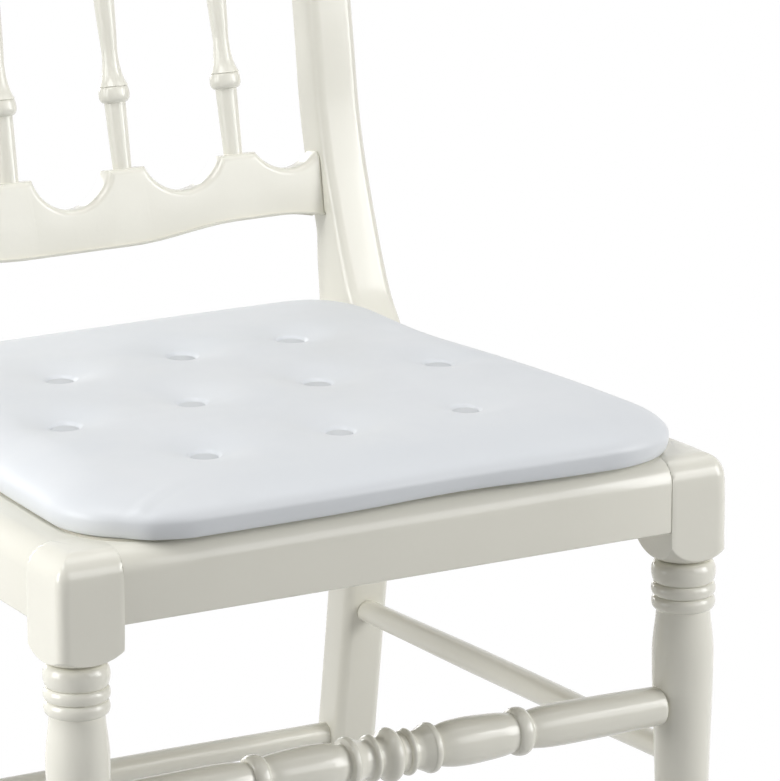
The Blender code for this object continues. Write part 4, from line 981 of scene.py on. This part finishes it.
def cushion_grid(columns=460):
    """Rings from the pocket for the base board, under the rim, round the edge and over the top."""
    def at(plan, height):
        """Ring of an outline in plan at a height, or at a height for each point."""
        return stacked(plan[:, 0], plan[:, 1], height)

    def over(plan, distance):
        """Ring on the top of the cushion, at a distance in from the edge."""
        return at(plan, cushion_top(plan[:, 0], plan[:, 1], np.full(columns, distance)))

    centre = np.array([0.0, 0.170])
    edge = cushion_edge(columns)
    inward = inward_normal(edge)
    pocket = outline(0.0115, 0.3335, 0.1740, 0.1525, 0.040, 0.040, columns)
    rings = [at(centre + (pocket - centre) * share, base_top) for share in (0.5, 0.97, 1.0)]
    rings += [at(pocket, height) for height in (base_top - 0.0006, 0.0034, 0.0028)]
    rings.append(at(pocket + (edge + inward * 0.0082 - pocket) * 0.5, 0.00225))
    raised = 0.0013 * bell(edge[:, 0] - 0.034, 0.050) * bell(edge[:, 1] - cushion_front, 0.03)
    rim = edge - inward * corner_folds(edge, 0.0)
    rings += [at(rim + inward * inset, height + raised * share)
              for inset, height, share in ((0.0075, 0.00150, 0.6), (0.0060, 0.00105, 1.0))]
    rings += [at(rim + inward * under_round * (1 - math.cos(a)),
                 cushion_mid - (cushion_mid - cushion_low - raised) * math.sin(a))
              for a in np.radians(np.linspace(90, 0, 12))]
    rings += [over(edge + inward * (distance - corner_folds(edge, distance)), distance)
              for distance in roll_width * (1 - np.cos(np.linspace(0, math.pi / 2, 34)[1:]))]
    last = edge + inward * roll_width
    rings += [over(centre + (last - centre) * share, roll_width)
              for share in np.linspace(1, 0, 68)[1:-1]]
    return np.array(rings) + np.array([0.0, front_face, seat_top])


print("rings and columns of the cushion:", cushion_grid().shape[:2])

# %% Finer faces round the buttons
def finer_wells(mesh, reach=0.0145, cuts=3, lowest=0.009):
    """Cuts the faces of the top near each button into smaller ones, then puts every point there back
    on the surface: z = cushion_top(x, y). Only what lies over the lowest height is the top."""
    centres = np.empty(len(mesh.polygons) * 3)
    mesh.polygons.foreach_get("center", centres)
    x, y, z = (centres.reshape(-1, 3) - np.array([0.0, front_face, seat_top])).T
    near = np.flatnonzero((from_buttons(x, y).min(axis=1) < reach) & (z > lowest))
    shape = bmesh.new()
    shape.from_mesh(mesh)
    shape.faces.ensure_lookup_table()
    edges = {edge for number in near.tolist() for edge in shape.faces[number].edges}
    bmesh.ops.subdivide_edges(shape, edges=list(edges), cuts=cuts, use_grid_fill=True)
    shape.to_mesh(mesh)
    shape.free()
    points = np.empty(len(mesh.vertices) * 3)
    mesh.vertices.foreach_get("co", points)
    points = points.reshape(-1, 3)
    x, y = points[:, 0], points[:, 1] - front_face
    close = (from_buttons(x, y).min(axis=1) < 1.3 * reach) & (points[:, 2] > seat_top + lowest)
    height = seat_top + cushion_top(x, y, np.full(len(x), roll_width))
    points[:, 2] = np.where(close, height, points[:, 2])
    mesh.vertices.foreach_set("co", points.ravel())
    mesh.update()
    mesh.shade_smooth()
    return mesh


cushion_mesh = finer_wells(ring_mesh("buttoned_cushion", cushion_grid(), 180))
pad = add_piece(cushion_mesh, "seat_cushion", vinyl, "cushion")

# %% [markdown]
# Each button is a metal shell covered in the same vinyl: a low dome with a tight round rim that sinks
# into its dimple. Its vinyl is painted a little greyer than the cushion's, as painted shade of its steep
# well.

# %% Buttons
button_radius, dome_height, rim_draw, rim_depth, button_lift = 0.0075, 0.0015, 0.0009, 0.0012, 0.0010
turn = quarter(12)
dome = button_radius * np.sin(turn), dome_height * np.cos(turn) ** 0.9
rim = button_radius - rim_draw * (1 - np.cos(turn)), -rim_depth * np.sin(turn)
radii, heights = (np.concatenate([over[1:], under[1:]]) for over, under in zip(dome, rim))
seats = cushion_top(buttons[:, 0], buttons[:, 1], np.full(len(buttons), roll_width))
for number, ((x, y), seat) in enumerate(zip(buttons, seats), start=1):
    middle = (x, front_face + y, seat_top + seat + button_lift)
    grid = turned(heights, radii, middle, (0, 0, 1), (1, 0, 0), 40)
    add_piece(ring_mesh(f"covered_button_{number:02d}", grid), "seat_cushion", button_vinyl_painted_shade,
              f"tuft_button_{number:02d}")

# %% [markdown]
# ## Studio
#
# A product photograph like this is taken on white paper between large soft lamps. The lamps at the
# two sides do most of the work, so the side faces of the blocks are pale while the fronts stay grey,
# and two small ones over the seat draw the dimples of the cushion. The paper and the air show as
# plain white to the camera and in reflections, which keeps that white out of the light on the chair.


# %% White for the eye, not for the light
def calculated(tree, operation, first, second):
    """One calculation with two numbers."""
    result = add_node(tree, "Math", {0: first, 1: second})
    result.operation = operation
    return result.outputs[0]


def seen_directly(tree):
    """Share of 1 for rays of the camera, of mirrors and of glass, and 0 for light."""
    rays = add_node(tree, "LightPath").outputs
    either = calculated(tree, "MAXIMUM", rays["Is Glossy Ray"], rays["Is Transmission Ray"])
    return calculated(tree, "MAXIMUM", rays["Is Camera Ray"], either)


def blended(tree, share, first, second):
    """Two shaders mixed by a share."""
    return add_node(tree, "MixShader", {"Fac": share, 1: first, 2: second}).outputs[0]


print("helpers ready: calculated, seen_directly, blended")

# %% Floor
def white_paper(name, grey, shown, near=0.30, far=0.70):
    """Pale diffuse paper, plain white where it is seen, apart from the shadow near the chair.

    The share that glows rises from the given one, at the near distance from the middle, to 1 at the
    far one. From below the paper is clear, so that the chair can be looked at from there too.
    """
    material, tree = new_material(name)
    tree.nodes.remove(tree.nodes["Principled BSDF"])
    paper = add_node(tree, "BsdfDiffuse", {"Color": (grey, grey, grey, 1)}).outputs[0]
    glow = add_node(tree, "Emission", {"Color": (1, 1, 1, 1)}).outputs[0]
    away = add_node(tree, "VectorMath", {0: add_node(tree, "TexCoord").outputs["Object"]})
    away.operation = "LENGTH"
    share = scaled(tree, away.outputs["Value"], shown, 1.0, near, far)
    upper = blended(tree, calculated(tree, "MULTIPLY", seen_directly(tree), share), paper, glow)
    from_below = add_node(tree, "NewGeometry").outputs["Backfacing"]
    surface = blended(tree, from_below, upper, add_node(tree, "BsdfTransparent").outputs[0])
    fill(tree, tree.nodes["Material Output"], {"Surface": surface})
    return material


floor_half, floor_lines = 30.0, 9
reach = np.linspace(-floor_half, floor_half, floor_lines)
floor_points = stacked(*np.meshgrid(reach, reach), 0.0)
index = np.arange(floor_lines ** 2).reshape(floor_lines, floor_lines)
quads = np.stack([index[:-1, :-1], index[:-1, 1:], index[1:, 1:], index[1:, :-1]], -1).reshape(-1, 4)
floor_mesh = bpy.data.meshes.new("paper_floor")
floor_mesh.from_pydata(floor_points.reshape(-1, 3).tolist(), [], quads.tolist())
floor_mesh.materials.append(white_paper("white_paper", 0.62, 0.75))
floor = add_object("paper_floor", floor_mesh)
floor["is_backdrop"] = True
print("paper floor of", len(quads), "faces")

# %% Air
world = bpy.data.worlds.new("studio_air")
world.use_nodes = True
bpy.context.scene.world = world
air = world.node_tree
faint_air = fill(air, air.nodes["Background"], {"Color": (1, 1, 1, 1), "Strength": 0.02})
white_air = add_node(air, "Background", {"Color": (1, 1, 1, 1), "Strength": 1.0})
mixed_air = blended(air, seen_directly(air), faint_air.outputs[0], white_air.outputs[0])
fill(air, air.nodes["World Output"], {"Surface": mixed_air})
print("air lights with a strength of 0.02 and shows as plain white")


# %% Lamps
def soft_lamp(name, place, size, power, target=(0, 0, 0.45)):
    """A rectangular area lamp that looks at the middle of the chair."""
    light = bpy.data.lights.new(name, "AREA")
    light.shape = "RECTANGLE"
    light.size, light.size_y = size
    light.energy = power
    lamp = add_object(name, light)
    lamp.location = place
    lamp.rotation_euler = (Vector(target) - Vector(place)).to_track_quat("-Z", "Y").to_euler()


lamps = [("wall_left", (-2.8, 0.4, 1.2), (1.6, 1.8), 67),
         ("front_right", (1.4, -2.8, 1.6), (1.3, 1.6), 18),
         ("side_right", (2.0, -1.7, 1.2), (1.0, 1.6), 37),
         ("over_seat_left", (-0.7, -0.15, 1.8), (0.8, 0.8), 11),
         ("over_seat_right", (0.6, -0.12, 1.8), (0.8, 0.8), 3.5),
         ("behind", (0.0, 3.2, 0.9), (2.0, 1.2), 34)]
for lamp in lamps:
    soft_lamp(*lamp)
print("lamps:", ", ".join(lamp[0] for lamp in lamps))

# %% [markdown]
# The camera's place was found by fitting a long lens to the photograph: a 300 mm lens about three
# and a half metres away, thirty degrees to the left and fifteen degrees up.

# %% Camera
azimuth, elevation, roll = (math.radians(angle) for angle in (30.1513, 14.8536, -0.1678))
distance = 3.5673
target = Vector((0.1101, front_face + 0.2044, seat_top))
back = Vector((-math.sin(azimuth) * math.cos(elevation), -math.cos(azimuth) * math.cos(elevation),
               math.sin(elevation)))
right = Vector((0, 0, 1)).cross(back).normalized()
turned_by = Matrix((right, back.cross(right), back)).transposed() @ Matrix.Rotation(roll, 3, "Z")
lens = bpy.data.cameras.new("camera")
lens.sensor_fit = "HORIZONTAL"
lens.sensor_width, lens.lens, lens.clip_end = 36.0, 300.0, 60.0
camera = add_object("camera", lens)
camera.matrix_world = Matrix.Translation(target + back * distance) @ turned_by.to_4x4()
bpy.context.scene.camera = camera
bpy.context.scene.view_settings.view_transform = "Standard"
print("camera at", [round(v, 3) for v in camera.location])

# %% Compare the dressed chair's box with the plain model's, and finish
bpy.context.view_layer.update()
dressed_box = [list(corner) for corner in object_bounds()]
grown = [round(1000 * (b - a), 1) for a, b in zip(cad_box[1], dressed_box[1])]
print("plain box", cad_box, "dressed box", dressed_box, "growth at the high corner in mm", grown)
